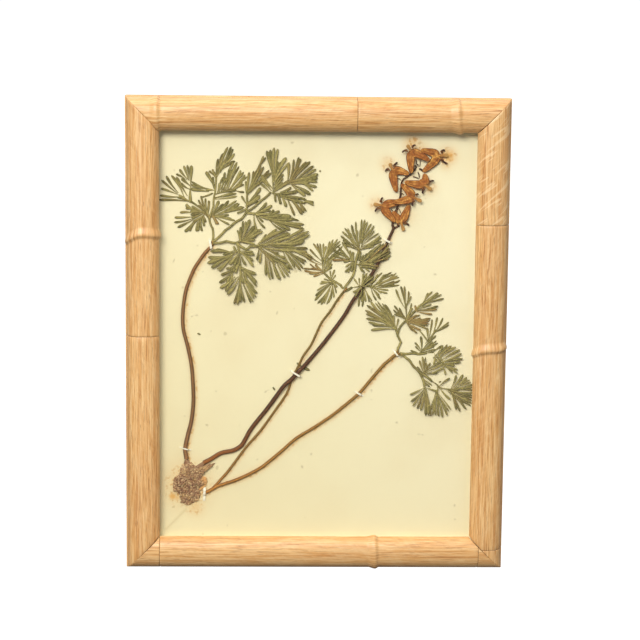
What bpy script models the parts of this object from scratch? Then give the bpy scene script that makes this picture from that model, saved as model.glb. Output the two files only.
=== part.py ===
"""A pressed woodland plant under glass in a bamboo-shaped oak frame, hung on a wall.

The frame stands upright: X to the right, Z up, the wall towards +Y and the front towards -Y.
The origin is the notch of the hanger, on the plane of the frame's back.
"""

import bpy
import bmesh
import numpy as np
from mathutils import Vector
from mathutils.geometry import delaunay_2d_cdt

for old in list(bpy.data.objects):
    bpy.data.objects.remove(old, do_unlink=True)

# Driving dimensions, in millimetres
FRAME_WIDTH = 232.0
FRAME_HEIGHT = 290.0
RAIL_WIDTH = 20.7
RAIL_DEPTH = 17.5
GAP = 0.3
RABBET_WIDTH = 6.5
RABBET_DEPTH = 11.2
GLASS_THICKNESS = 2.0
SHEET_THICKNESS = 0.4
BOARD_THICKNESS = 2.6
BOARD_RECESS = 1.1
HANGER_BELOW_TOP = 9.0

MM = 0.001
CENTRE_Z = HANGER_BELOW_TOP - FRAME_HEIGHT / 2
RABBET_SHOULDER = RAIL_WIDTH - RABBET_WIDTH
GLASS_FRONT = RABBET_DEPTH - GAP
GLASS_BACK = GLASS_FRONT - GLASS_THICKNESS
SHEET_BACK = BOARD_RECESS + BOARD_THICKNESS + GAP
SHEET_FRONT = SHEET_BACK + SHEET_THICKNESS
FITTED_WIDTH = FRAME_WIDTH - 2 * (RABBET_SHOULDER + GAP)
FITTED_HEIGHT = FRAME_HEIGHT - 2 * (RABBET_SHOULDER + GAP)


# Materials and mesh helpers
def material(name, colour, roughness, metallic=0.0, transmission=0.0):
    made = bpy.data.materials.get(name)
    if made is None:
        made = bpy.data.materials.new(name)
        made.use_nodes = True
        shader = made.node_tree.nodes["Principled BSDF"]
        shader.inputs["Base Color"].default_value = (*colour, 1.0)
        shader.inputs["Roughness"].default_value = roughness
        shader.inputs["Metallic"].default_value = metallic
        shader.inputs["Transmission Weight"].default_value = transmission
    return made


OAK = ("oak", (0.80, 0.52, 0.26), 0.5)
GLASS = ("glass", (0.95, 0.97, 0.96), 0.03, 0.0, 1.0)
PAPER = ("sheet_paper", (0.93, 0.86, 0.62), 0.9)
BOARD = ("backing_board", (0.45, 0.31, 0.20), 0.85)
SPACER = ("spacer_card", (0.90, 0.86, 0.74), 0.9)
STEEL = ("hanger_steel", (0.60, 0.58, 0.52), 0.35, 1.0)
LEAF = ("dried_leaf", (0.25, 0.23, 0.10), 0.8)
STALK = ("dried_stalk", (0.30, 0.17, 0.09), 0.7)
FLOWER = ("dried_flower", (0.50, 0.24, 0.09), 0.75)
ROOT = ("dried_root", (0.34, 0.23, 0.16), 0.9)
STRAP = ("strap_paper", (0.90, 0.86, 0.74), 0.9)


def face_outwards(shape):
    bmesh.ops.recalc_face_normals(shape, faces=shape.faces)
    if shape.calc_volume(signed=True) < 0:
        bmesh.ops.reverse_faces(shape, faces=shape.faces)


def add_object(name, points, faces, finish, smooth=False):
    """Makes a closed mesh from millimetre points and turns its faces outwards."""
    mesh = bpy.data.meshes.new(name)
    mesh.from_pydata([tuple(p) for p in np.asarray(points, float) * MM], [], faces)
    shape = bmesh.new()
    shape.from_mesh(mesh)
    face_outwards(shape)
    shape.to_mesh(mesh)
    shape.free()
    mesh.materials.append(material(*finish))
    if smooth:
        mesh.shade_smooth()
        mesh.set_sharp_from_angle(angle=np.radians(40))
    made = bpy.data.objects.new(name, mesh)
    bpy.context.scene.collection.objects.link(made)
    return made


def block(name, low, high, finish):
    corners = [(x, y, z) for x in (low[0], high[0]) for y in (low[1], high[1]) for z in (low[2], high[2])]
    faces = [(0, 1, 3, 2), (4, 6, 7, 5), (0, 4, 5, 1), (2, 3, 7, 6), (0, 2, 6, 4), (1, 5, 7, 3)]
    return add_object(name, corners, faces, finish)


# The moulding: a flat back strip with a half-round bamboo face and a rabbet behind it
ROUND_CENTRE = 11.0
ROUND_FOOT = 7.9
ROUND_HALF_WIDTH = 10.0
ROUND_POWER = 2.4
ROUND_STEPS = 12
RING_HEIGHT = 1.15
RING_STEPS = (-5.0, -3.2, -1.6, -0.5, 0.0, 0.7, 1.5, 2.4)


def round_section():
    """Points (across, forward) of the superellipse face, from the outer foot to the sight edge."""
    rise = RAIL_DEPTH - ROUND_FOOT
    lip = np.arcsin(((RABBET_DEPTH - ROUND_FOOT) / rise) ** (ROUND_POWER / 2))
    turn = np.linspace(np.pi, lip, ROUND_STEPS + 1)
    across = np.sign(np.cos(turn)) * np.abs(np.cos(turn)) ** (2 / ROUND_POWER)
    forward = np.abs(np.sin(turn)) ** (2 / ROUND_POWER)
    return np.stack([ROUND_CENTRE + ROUND_HALF_WIDTH * across, ROUND_FOOT + rise * forward], axis=1)


ROUND = round_section()
BACK_STRIP = np.array([(RABBET_SHOULDER, RABBET_DEPTH), (RABBET_SHOULDER, 0.0), (0.5, 0.0), (0.0, 0.5),
                       (0.0, 7.0), (0.5, 7.6)])
SECTION = np.concatenate([ROUND, BACK_STRIP])


def ring_rise(offset):
    """Height of a carved ring: a slow rise, a crest at 0 and a short drop, both cosine curves."""
    run = np.where(offset < 0, RING_STEPS[0], RING_STEPS[-1])
    return RING_HEIGHT * 0.5 * (1 + np.cos(np.pi * np.clip(offset / run, 0, 1)))


def rail_mesh(low_end, high_end, rings):
    """Carries SECTION along the rail in (along, across, forward), swelling the face at each ring."""
    lean = (SECTION[:, 0] - ROUND_CENTRE) / ROUND_HALF_WIDTH
    on_face = np.arange(len(SECTION)) < len(ROUND)
    rows = [np.full(len(SECTION), low_end)]
    swell = [np.zeros(len(SECTION))]
    for crest, drop, outer_slant, inner_slant in sorted(rings):
        slant = np.where(lean < 0, outer_slant * lean**2, inner_slant * lean**2) * on_face
        for step in sorted(drop * s for s in RING_STEPS):
            rows.append(crest + step + slant)
            swell.append(ring_rise(np.full(len(SECTION), drop * step)) * on_face)
    rows.append(np.full(len(SECTION), high_end))
    swell.append(np.zeros(len(SECTION)))
    middle = np.array([ROUND_CENTRE, ROUND_FOOT])
    outward = (SECTION - middle) / np.linalg.norm(SECTION - middle, axis=1)[:, None]
    points = [np.column_stack([row, SECTION + outward * rise[:, None]]) for row, rise in zip(rows, swell)]
    count = len(SECTION)
    faces = [(r * count + j, r * count + (j + 1) % count, (r + 1) * count + (j + 1) % count, (r + 1) * count + j)
             for r in range(len(rows) - 1) for j in range(count)]
    faces += [tuple(range(count)), tuple(reversed(range((len(rows) - 1) * count, len(rows) * count)))]
    return np.concatenate(points), faces


def cut_end(shape, point, outward):
    """Cuts the solid at a plane, drops what lies beyond it and closes the cut."""
    geometry = shape.verts[:] + shape.edges[:] + shape.faces[:]
    cut = bmesh.ops.bisect_plane(shape, geom=geometry, plane_co=point, plane_no=outward, clear_outer=True)
    rim = [e for e in cut["geom_cut"] if isinstance(e, bmesh.types.BMEdge)]
    cap = bmesh.ops.edgeloop_fill(shape, edges=rim)["faces"]
    bmesh.ops.triangulate(shape, faces=cap)


TO_WORLD = {
    "top": lambda s, u: (s, FRAME_HEIGHT / 2 - u),
    "bottom": lambda s, u: (s, u - FRAME_HEIGHT / 2),
    "left": lambda s, u: (u - FRAME_WIDTH / 2, s),
    "right": lambda s, u: (FRAME_WIDTH / 2 - u, s),
}


def rail(name, side, low_seam, high_seam, rings=()):
    """One length of moulding, mitred at the corners. A seam that isn't None is a butt joint there."""
    half = (FRAME_WIDTH if side in ("top", "bottom") else FRAME_HEIGHT) / 2
    points, faces = rail_mesh(-half - 20, half + 20, rings)
    mesh = bpy.data.meshes.new(name)
    mesh.from_pydata([tuple(p) for p in points], [], faces)
    shape = bmesh.new()
    shape.from_mesh(mesh)
    half_gap = GAP / 2
    for sign, seam in ((-1, low_seam), (1, high_seam)):
        corner = sign * (half - half_gap * np.sqrt(2))
        cut_end(shape, (corner, 0, 0), Vector((sign, 1, 0)).normalized())
        if seam is not None:
            cut_end(shape, (seam - sign * half_gap, 0, 0), Vector((sign, 0, 0)))
    for vertex in shape.verts:
        x, z = TO_WORLD[side](vertex.co.x, vertex.co.y)
        vertex.co = Vector((x, -vertex.co.z, z + CENTRE_Z)) * MM
    face_outwards(shape)
    shape.to_mesh(mesh)
    shape.free()
    mesh.materials.append(material(*OAK))
    mesh.shade_smooth()
    mesh.set_sharp_from_angle(angle=np.radians(35))
    made = bpy.data.objects.new(name, mesh)
    bpy.context.scene.collection.objects.link(made)


# Places of the butt seams and carved rings, from the frame's centre. A ring is (crest, side that
# drops, slant at the outer edge, slant at the sight edge).
LEFT_SEAM = 0.3
TOP_SEAM = 23.0
RIGHT_SEAM = 69.1
RIGHT_FOOT_SEAM = -131.7
BOTTOM_LEFT_SEAM = -95.3
BOTTOM_RIGHT_SEAM = 100.7
LEFT_RING = (62.2, -1, -5.0, -1.2)
RIGHT_RING = (-7.0, -1, 1.0, -3.5)
TOP_RING_LEFT = (-96.9, 1, 0.0, 0.5)
TOP_RING_RIGHT = (83.2, 1, -0.6, 2.0)
BOTTOM_RING = (37.0, 1, 0.5, -0.5)

rail("rail_left_upper", "left", LEFT_SEAM, None, [LEFT_RING])
rail("rail_left_lower", "left", None, LEFT_SEAM)
rail("rail_top_left", "top", None, TOP_SEAM, [TOP_RING_LEFT])
rail("rail_top_right", "top", TOP_SEAM, None, [TOP_RING_RIGHT])
rail("rail_right_upper", "right", RIGHT_SEAM, None)
rail("rail_right_lower", "right", RIGHT_FOOT_SEAM, RIGHT_SEAM, [RIGHT_RING])
rail("rail_right_foot", "right", None, RIGHT_FOOT_SEAM)
rail("rail_bottom_left", "bottom", None, BOTTOM_LEFT_SEAM)
rail("rail_bottom", "bottom", BOTTOM_LEFT_SEAM, BOTTOM_RIGHT_SEAM, [BOTTOM_RING])
rail("rail_bottom_right", "bottom", BOTTOM_RIGHT_SEAM, None)


# What lies in the rabbet: glass, spacers, the mounting sheet and the backing board
def fitted(name, back, front, finish):
    half = np.array([FITTED_WIDTH, FITTED_HEIGHT]) / 2
    low = (-half[0], -front, CENTRE_Z - half[1])
    high = (half[0], -back, CENTRE_Z + half[1])
    return block(name, low, high, finish)


fitted("glass_pane", GLASS_BACK, GLASS_FRONT, GLASS)
fitted("mounting_sheet", SHEET_BACK, SHEET_FRONT, PAPER)
fitted("backing_board", BOARD_RECESS, BOARD_RECESS + BOARD_THICKNESS, BOARD)

SPACER_WIDTH = 4.0


def spacer(name, side):
    """A strip of card that keeps the glass off the plant, hidden behind the moulding's lip."""
    half_x = FITTED_WIDTH / 2
    half_z = FITTED_HEIGHT / 2
    if side in ("left", "right"):
        half_z -= SPACER_WIDTH + GAP
        x = np.array([-half_x, -half_x + SPACER_WIDTH]) * (1 if side == "left" else -1)
        z = np.array([-half_z, half_z])
    else:
        x = np.array([-half_x, half_x])
        z = np.array([-half_z, -half_z + SPACER_WIDTH]) * (1 if side == "bottom" else -1)
    low = (x.min(), GAP - GLASS_BACK, z.min() + CENTRE_Z)
    high = (x.max(), -SHEET_FRONT - GAP, z.max() + CENTRE_Z)
    block(name, low, high, SPACER)


for edge in ("left", "right", "top", "bottom"):
    spacer("glass_spacer_" + edge, edge)

# Glazier's points: small steel tongues, driven into the rabbet, that hold the board in
POINT_LENGTH = 9.0
POINT_WIDTH = 5.0
POINT_THICKNESS = 0.5
POINT_PLACES = {"left": (-116.0, 0), "right": (116.0, 0), "top": (0, 145.0), "bottom": (0, -145.0)}


def glazier_point(name, side):
    """A flat tongue that reaches from the rabbet's wall inwards over the board."""
    back = -BOARD_RECESS + GAP
    wall = RABBET_SHOULDER + GAP
    half = POINT_WIDTH / 2
    if side in ("left", "right"):
        ends = sorted(np.sign(POINT_PLACES[side][0]) * (FRAME_WIDTH / 2 - np.array([wall, wall + POINT_LENGTH])))
        low = (ends[0], back, CENTRE_Z - half)
        high = (ends[1], back + POINT_THICKNESS, CENTRE_Z + half)
    else:
        ends = sorted(np.sign(POINT_PLACES[side][1]) * (FRAME_HEIGHT / 2 - np.array([wall, wall + POINT_LENGTH])))
        low = (-half, back, CENTRE_Z + ends[0])
        high = (half, back + POINT_THICKNESS, CENTRE_Z + ends[1])
    block(name, low, high, STEEL)


for edge in POINT_PLACES:
    glazier_point("glazier_point_" + edge, edge)

# The hanger: a toothed steel strip held to the top rail's back by two nails
HANGER_LENGTH = 44.0
HANGER_HEIGHT = 9.0
HANGER_THICKNESS = 1.0
TOOTH_PITCH = 3.0
TOOTH_DEPTH = 1.4
EAR_LENGTH = 7.0
NAIL_HEAD_RADIUS = 2.0


def hanger_outline():
    """Half outline from the middle notch to the ear, with a saw-tooth lower edge, then mirrored."""
    ear_start = HANGER_LENGTH / 2 - EAR_LENGTH
    teeth = int(ear_start / TOOTH_PITCH)
    low = [(0.0, 0.0)]
    for k in range(teeth):
        low += [((k + 0.5) * TOOTH_PITCH, -TOOTH_DEPTH), ((k + 1) * TOOTH_PITCH, 0.0)]
    low += [(ear_start, -TOOTH_DEPTH), (HANGER_LENGTH / 2, -TOOTH_DEPTH)]
    top = [(HANGER_LENGTH / 2, HANGER_HEIGHT - 5.5), (ear_start, HANGER_HEIGHT - 4.0), (0, HANGER_HEIGHT - 4.0)]
    right = low + top
    left = [(-x, z) for x, z in reversed(right) if x > 0]
    return right + left


def prism(name, outline, back, front, finish):
    """A flat plate of the outline between two depths, where +Y is towards the wall."""
    count = len(outline)
    points = [(x, y, z) for y in (front, back) for x, z in outline]
    faces = [tuple(range(count)), tuple(reversed(range(count, 2 * count)))]
    faces += [(k, (k + 1) % count, count + (k + 1) % count, count + k) for k in range(count)]
    return add_object(name, points, faces, finish)


hanger_front = GAP
hanger_back = GAP + HANGER_THICKNESS
prism("hanger", hanger_outline(), hanger_back, hanger_front, STEEL)


def nail_head(name, x):
    """A low round head over the hanger's ear. Its shank is inside the wood and isn't modelled."""
    turn = np.linspace(0, 2 * np.pi, 12, endpoint=False)
    levels = ((GAP * 2 + HANGER_THICKNESS, 1.0), (GAP * 2 + HANGER_THICKNESS + 0.5, 1.0),
              (GAP * 2 + HANGER_THICKNESS + 0.9, 0.55))
    points = [(x + NAIL_HEAD_RADIUS * k * np.cos(t), y, 1.4 + NAIL_HEAD_RADIUS * k * np.sin(t))
              for y, k in levels for t in turn]
    count = len(turn)
    faces = [(r * count + j, r * count + (j + 1) % count, (r + 1) * count + (j + 1) % count, (r + 1) * count + j)
             for r in range(len(levels) - 1) for j in range(count)]
    faces += [tuple(range(count)), tuple(range((len(levels) - 1) * count, len(levels) * count))]
    return add_object(name, points, faces, STEEL)


ear_middle = (HANGER_LENGTH - EAR_LENGTH) / 2
nail_head("hanger_nail_left", -ear_middle)
nail_head("hanger_nail_right", ear_middle)


# The photograph's viewpoint, which places the plant: eye in mm from the frame's centre, turns in degrees
PHOTO_CENTRE_PX = 320.0
PHOTO_FOCAL_PX = 2000.0
EYE = np.array([-35.0, -1210.1, 190.6])
VIEW_PITCH = 8.54
VIEW_ROLL = 0.60
VIEW_YAW = 1.76


def view_turn():
    """Rotation from the frame to the viewer: yaw about Z, then pitch about X, then roll about Y."""
    pitch, roll, yaw = np.radians([VIEW_PITCH, VIEW_ROLL, VIEW_YAW])
    about_x = np.array([[1, 0, 0], [0, np.cos(pitch), -np.sin(pitch)], [0, np.sin(pitch), np.cos(pitch)]])
    about_y = np.array([[np.cos(roll), 0, np.sin(roll)], [0, 1, 0], [-np.sin(roll), 0, np.cos(roll)]])
    about_z = np.array([[np.cos(yaw), -np.sin(yaw), 0], [np.sin(yaw), np.cos(yaw), 0], [0, 0, 1]])
    return about_y @ about_x @ about_z


VIEW = view_turn()


def on_sheet(pixels):
    """Points (x, z) in mm on the mounting sheet, from the frame's centre, seen at these pixels."""
    pixels = np.atleast_2d(np.asarray(pixels, float))
    across = (pixels[:, 0] - PHOTO_CENTRE_PX) / PHOTO_FOCAL_PX
    down = (pixels[:, 1] - PHOTO_CENTRE_PX) / PHOTO_FOCAL_PX
    rays = np.stack([across, np.ones(len(pixels)), -down], axis=1) @ VIEW
    reach = (-SHEET_FRONT - EYE[1]) / rays[:, 1]
    return (EYE + rays * reach[:, None])[:, [0, 2]]


MM_PER_PIXEL = float(np.linalg.norm(on_sheet([[321, 320]]) - on_sheet([[320, 320]])))


# Leaf pieces: flat plates whose outline joins many narrow lobes
LEAF_THICKNESS = 0.35
LEAF_LIFTS = (0.3, 0.95, 1.6)
LOBE_SHOULDER = 0.72
LOBE_BASE = 0.7
OUTLINE_TOLERANCE = 0.1
SMALLEST_HOLE = 0.5


def lobe_polygon(lobe):
    """Five corners of one lobe: narrow base, widest at the shoulder, pointed tip."""
    base, tip = on_sheet([lobe[0:2], lobe[2:4]])
    along = tip - base
    side = np.array([-along[1], along[0]]) / np.linalg.norm(along) * lobe[4] * MM_PER_PIXEL / 2
    shoulder = base + along * LOBE_SHOULDER
    return [base - side * LOBE_BASE, shoulder - side, tip, shoulder + side, base + side * LOBE_BASE]


def boundary_loops(points, triangles):
    """Closed chains of the edges that only one triangle uses, with the filled side on the left."""
    edges = {(t[k], t[(k + 1) % 3]) for t in triangles for k in range(3)}
    following = {}
    for a, b in sorted(edges):
        if (b, a) not in edges:
            following.setdefault(a, []).append(b)
    loops = []
    while following:
        start = min(following)
        loop = [start]
        while True:
            ways = following[loop[-1]]
            step = ways.pop()
            if not ways:
                del following[loop[-1]]
            if step == start:
                break
            loop.append(step)
        loops.append(points[loop])
    return loops


def signed_area(loop):
    x, z = loop[:, 0], loop[:, 1]
    return 0.5 * float(np.sum(x * np.roll(z, -1) - np.roll(x, -1) * z))


def holds_corner(triangle, corners):
    """Whether any other corner lies in or on the triangle."""
    a, b, c = triangle
    turns = [(q[0] - p[0]) * (corners[:, 1] - p[1]) - (q[1] - p[1]) * (corners[:, 0] - p[0])
             for p, q in ((a, b), (b, c), (c, a))]
    signs = np.sign(np.round(turns, 6))
    within = (signs >= 0).all(axis=0) | (signs <= 0).all(axis=0)
    own = [np.linalg.norm(corners - p, axis=1) < 1e-6 for p in triangle]
    return bool((within & ~np.any(own, axis=0)).any())


def simplified(loops):
    """Drops the corners that bend least, where no other corner stands in the way."""
    result = []
    for number in range(len(loops)):
        others = result + loops[number + 1:]
        loop = loops[number]
        while len(loop) > 4:
            before, after = np.roll(loop, 1, axis=0), np.roll(loop, -1, axis=0)
            chord, offset = after - before, loop - before
            length = np.maximum(np.linalg.norm(chord, axis=1), 1e-9)
            bend = np.abs(chord[:, 0] * offset[:, 1] - chord[:, 1] * offset[:, 0]) / length
            corners = np.concatenate([loop] + others)
            for k in np.argsort(bend):
                if bend[k] > OUTLINE_TOLERANCE or not holds_corner((before[k], loop[k], after[k]), corners):
                    break
            if bend[k] > OUTLINE_TOLERANCE:
                break
            loop = np.delete(loop, k, axis=0)
        result.append(loop)
    return result


def inside(loops, places):
    """Whether each place lies inside the loops, by counting crossings of a ray to the right."""
    crossings = np.zeros(len(places), int)
    for loop in loops:
        start, end = loop, np.roll(loop, -1, axis=0)
        for (x0, z0), (x1, z1) in zip(start, end):
            spans = (z0 > places[:, 1]) != (z1 > places[:, 1])
            rise = z1 - z0 if z1 != z0 else 1.0
            crossings += spans & (places[:, 0] < x0 + (places[:, 1] - z0) * (x1 - x0) / rise)
    return crossings % 2 == 1


def union_outline(polygons):
    """The outer loop and holes of overlapping polygons."""
    corners = [Vector(p) for polygon in polygons for p in polygon]
    starts = np.cumsum([0] + [len(p) for p in polygons])
    rings = [list(range(a, b)) for a, b in zip(starts[:-1], starts[1:])]
    made = delaunay_2d_cdt(corners, [], rings, 0, 1e-4)
    points = np.array([tuple(p) for p in made[0]])
    triangles = [tuple(t) for t, owners in zip(made[2], made[5]) if owners]
    loops = boundary_loops(points, triangles)
    outer = max(loops, key=signed_area)
    holes = [loop for loop in loops if signed_area(loop) < -SMALLEST_HOLE]
    return simplified([outer] + holes)


def plate_mesh(loops, lift, thickness):
    """Fills the loops with triangles and gives them a thickness, as (points, faces)."""
    corners = [Vector(p) for loop in loops for p in loop]
    starts = np.cumsum([0] + [len(loop) for loop in loops])
    edges = [(a + k, a + (k + 1) % (b - a)) for a, b in zip(starts[:-1], starts[1:]) for k in range(b - a)]
    made = delaunay_2d_cdt(corners, edges, [], 0, 1e-4)
    flat = np.array([tuple(p) for p in made[0]])
    triangles = np.array(made[2])
    kept = triangles[inside(loops, flat[triangles].mean(axis=1))]
    turned = {(t[k], t[(k + 1) % 3]) for t in kept for k in range(3)}
    rim = [(a, b) for a, b in sorted(turned) if (b, a) not in turned]
    count = len(flat)
    back = np.column_stack([flat[:, 0], np.full(count, -SHEET_FRONT - lift), flat[:, 1] + CENTRE_Z])
    front = back - (0, thickness, 0)
    faces = [tuple(t) for t in kept] + [tuple(reversed([count + k for k in t])) for t in kept]
    faces += [(b, a, count + a, count + b) for a, b in rim]
    return np.concatenate([back, front]), faces


def leaf(name, lobes, layer):
    points, faces = plate_mesh(union_outline([lobe_polygon(lobe) for lobe in lobes]), LEAF_LIFTS[layer],
                               LEAF_THICKNESS)
    return add_object(name, points, faces, LEAF)


# Leaf lobes in the photograph's pixels: base x, base y, tip x, tip y, width
LEFT_LEAF_TOP = [
    (212.8, 241.5, 212.4, 226.5, 2.2), (212.4, 228, 209.2, 217.5, 2.2), (210, 219, 204, 212, 2.2),
    (209, 218, 214, 204, 1.8), (213.4, 206, 215.1, 192, 1.8), (214.9, 194, 216.2, 175.5, 1.8),
    (187.5, 195.9, 176.4, 176.7, 3.5), (184.4, 197.4, 171.5, 175.2, 3.4), (178.4, 192.8, 166.1, 175.6, 3.2),
    (177.6, 193.6, 161.5, 179.8, 3), (177.6, 194.3, 161, 188.2, 3), (183, 196.6, 160, 195.1, 3),
    (189, 201.2, 159, 199.7, 3.2), (191.4, 202.6, 177.5, 195.6, 5),
    (190.6, 184.3, 191.4, 165.2, 4.2), (189.1, 180.5, 187.2, 164.9, 2.8), (188.3, 179.8, 183.7, 165.6, 3),
    (187.5, 179, 179.5, 169.1, 3.2), (186.8, 179.8, 176.1, 173.7, 2.6), (190.6, 185.9, 181.4, 178.3, 3.6),
    (190.4, 189.4, 180.7, 182.8, 3), (209, 189, 190.6, 182.8, 5.5), (209, 191.3, 190.4, 188.6, 4.5),
    (190.6, 186, 190.6, 202, 4), (214.9, 190.2, 206, 189.6, 3),
    (193.7, 208.9, 185.6, 204.3, 4), (193.7, 208.9, 185.6, 208.1, 3), (194, 212.7, 179.9, 212.3, 3),
    (193, 216.5, 174.5, 217.3, 3), (193, 218.4, 174.2, 222.2, 2.6), (193.6, 219.3, 177.6, 227.2, 3.2),
    (194.4, 219.8, 184.9, 231.8, 4), (196.4, 219.6, 189.8, 231, 2.4), (197.5, 219.1, 196.7, 231.4, 3.6),
    (199, 219.1, 198.3, 231, 3), (200.4, 218.6, 202.1, 231, 2.4), (201.8, 217.3, 204.4, 226.1, 2.4),
    (202.6, 215.5, 205.9, 222.2, 2.2), (205.4, 213.4, 190.6, 207.3, 6), (205.4, 212, 191, 216.5, 13),
    (205.4, 213.4, 189.6, 200.4, 2.5), (206.2, 211.2, 198.3, 199.7, 2), (206.2, 211.2, 198.3, 205, 2),
    (206.4, 211.6, 201, 195.6, 2), (200.8, 197.2, 213, 192.8, 1.5), (206.7, 211.9, 205.5, 198.2, 2),
    (207.4, 212.4, 209, 200.4, 2.4), (210, 219, 205, 209, 3.4),
    (216.4, 177.2, 218.1, 158.4, 2.6), (217.4, 175.4, 223.5, 153, 4), (218.9, 173.9, 227.7, 146.9, 3),
    (220.4, 172.6, 231.2, 146.5, 3.2), (226.3, 161.1, 233.1, 148.8, 2), (220.2, 167.2, 234.6, 153.4, 3.2),
    (215.9, 178, 225.8, 155.3, 6.5), (217.3, 173.1, 235, 160.7, 3.6),
    (214.6, 187.4, 205.9, 171.4, 4.5), (214.8, 176.4, 209, 170.6, 2.6), (215.4, 176.4, 212.4, 169.1, 2),
    (216.2, 178, 214.3, 171.4, 2), (214.9, 188.4, 212.8, 176.7, 2.4),
    (217.1, 193, 219.7, 182.8, 3), (217.9, 193, 225, 176.7, 5), (221.2, 191.5, 225, 172.1, 3),
    (222.7, 190.4, 231.2, 168.3, 6), (225, 190.4, 235.8, 160.7, 6), (227.3, 190.4, 238, 165.2, 5),
    (228.9, 190.4, 242.6, 170.6, 6), (230.2, 191.2, 246.5, 175.2, 5), (214.6, 194.4, 236.5, 189.7, 4),
    (234.5, 189.9, 244.2, 192, 2.5), (231.5, 191, 243.4, 182.8, 5), (214.6, 197.4, 233.5, 193, 4),
    (214.2, 198.6, 237.3, 194.6, 5), (211.5, 214.7, 218.9, 200.4, 4), (211.6, 214.9, 223.5, 203.5, 3),
    (211.8, 215.2, 228.9, 200.4, 3.6), (212.1, 215.9, 238, 201.2, 5), (213.6, 216, 239.6, 203.5, 3),
    (213.4, 215.9, 244, 207, 4.5), (214.1, 216, 228.9, 214.6, 3), (214.1, 216.3, 231.9, 218.8, 2.8),
    (214, 216.6, 235, 220.3, 2.6), (214.9, 216.6, 229.6, 224.5, 2.6), (212.6, 215.5, 216.6, 224.2, 2.4),
    (213.1, 216.3, 218.5, 224.2, 2), (208.6, 218.4, 214.8, 215, 3),
]
LEFT_LEAF_RIGHT = [
    (212.8, 241.5, 225.6, 229.6, 2.2), (224.8, 230.2, 233.4, 223.6, 2.2), (232.4, 224.2, 241.8, 218.4, 2.2),
    (240.8, 219.2, 246, 212, 2.2), (245, 213.4, 256, 205.4, 2), (255, 206, 263.6, 198.4, 2),
    (262.8, 199, 271, 191.6, 2), (245.6, 214, 246.6, 204.6, 1.8), (246.2, 206.6, 247.2, 199.6, 1.8),
    (247, 201.2, 247.3, 190.6, 1.8), (245, 212.7, 257.5, 213.6, 2.2),
    (270, 192.4, 260.6, 183.4, 3), (271.4, 190.5, 261.9, 178.9, 3.4), (272.8, 188.4, 260.6, 174.4, 4),
    (274.3, 180.9, 266.7, 150.5, 4.5), (274.6, 179.3, 270.2, 149.6, 4.5), (275.3, 177.7, 274, 147.3, 3.4),
    (275, 176.4, 277.7, 148.6, 3.4), (274.4, 175.2, 279.4, 161, 5), (273.4, 192.6, 274.6, 165.5, 6),
    (275.3, 178.4, 286.1, 157.2, 4.6), (275, 180.2, 289.3, 162.3, 2.4), (287.2, 183.6, 288.7, 162.3, 3.4),
    (275, 185.4, 283.3, 173.8, 2.2), (275.2, 186.6, 282.9, 177.6, 2), (275.6, 188.6, 282.9, 182.1, 2.2),
    (288.3, 182.5, 293.8, 159.1, 2.6), (289, 182.6, 298.9, 156.9, 3.4), (294.4, 170.2, 300.8, 158.5, 2),
    (290.5, 180, 298.9, 166.1, 2.4), (290, 182.4, 306.2, 161.4, 3), (291, 182.6, 310, 161.4, 4),
    (292.8, 182.1, 313.5, 165.5, 3.4), (298.2, 178.9, 316.1, 168.7, 2.8), (293.4, 182.3, 318, 173.8, 4.5),
    (293, 182.6, 317.7, 177.6, 4.5), (294.1, 182.6, 317.4, 181.5, 3), (298.2, 182.4, 316.7, 186.6, 3.4),
    (300.8, 182.4, 312.9, 190.7, 2.6), (285.4, 183.1, 309.7, 179.5, 8), (292.4, 184.2, 310.4, 194.2, 4.5),
    (291.2, 184.4, 305.3, 195.5, 4), (271.8, 192.9, 289.4, 180.4, 4.4), (280.3, 192.8, 291.2, 187.2, 2.4),
    (273.6, 193, 297.6, 191, 4), (282.4, 195.2, 306.5, 201.2, 6), (304.5, 200.6, 313.5, 201.9, 2.4),
    (304.5, 200.8, 313.5, 204.7, 2.2), (295.4, 196.6, 305.3, 212.1, 5), (286.4, 195.2, 302.1, 214, 4.5),
    (285.4, 194.9, 294.4, 215.3, 3), (280.3, 193.6, 286.1, 206.6, 3.4), (277.9, 193.6, 280.7, 203.8, 2.4),
    (274.9, 193, 275.6, 201.5, 2), (272.4, 192.6, 303.3, 200, 5.5),
    (247.2, 194.3, 249.1, 171.9, 3), (247.4, 193, 255.2, 170.6, 5.4), (254, 174, 264.8, 156, 5),
    (247.7, 193.4, 262.5, 164.9, 6), (247.8, 193.6, 270.8, 170.6, 6), (247.6, 193.6, 260.6, 181.5, 4),
    (247, 193.4, 245.9, 180.8, 2), (246.4, 205, 259.3, 193.6, 6), (246.6, 205.4, 260, 196.8, 2.4),
    (246.4, 206.6, 258.1, 200.6, 2.2), (247, 204.4, 260.6, 187.2, 4), (246.9, 204.4, 241.5, 195.5, 2.6),
    (246.6, 208.6, 237, 213, 2),
    (254.2, 213.7, 266.7, 202.2, 3.4), (255.4, 213.2, 272.1, 205, 3.6), (255.4, 213.4, 270.8, 210.2, 2),
    (256.1, 214.4, 269.3, 214, 2.4), (267.3, 214.6, 274, 209.5, 2.4), (263.7, 216.7, 279.7, 210.5, 3.2),
    (258.6, 215.4, 282.3, 214.6, 3), (262.1, 216.7, 291.2, 215.9, 4.5), (264.3, 217.2, 294.4, 218.4, 4.5),
    (266.8, 218.2, 299.5, 221.6, 5), (270.6, 219.9, 304.3, 226.1, 7), (268.8, 218.9, 284.2, 229.3, 5),
    (279, 223.3, 290, 229.3, 4), (255.9, 214.8, 263.2, 221.6, 2.6), (255.6, 214.8, 265.1, 228, 2.6),
    (254.5, 213.8, 272.8, 219, 3.4), (253.6, 213.6, 256.8, 232, 3),
]
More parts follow.
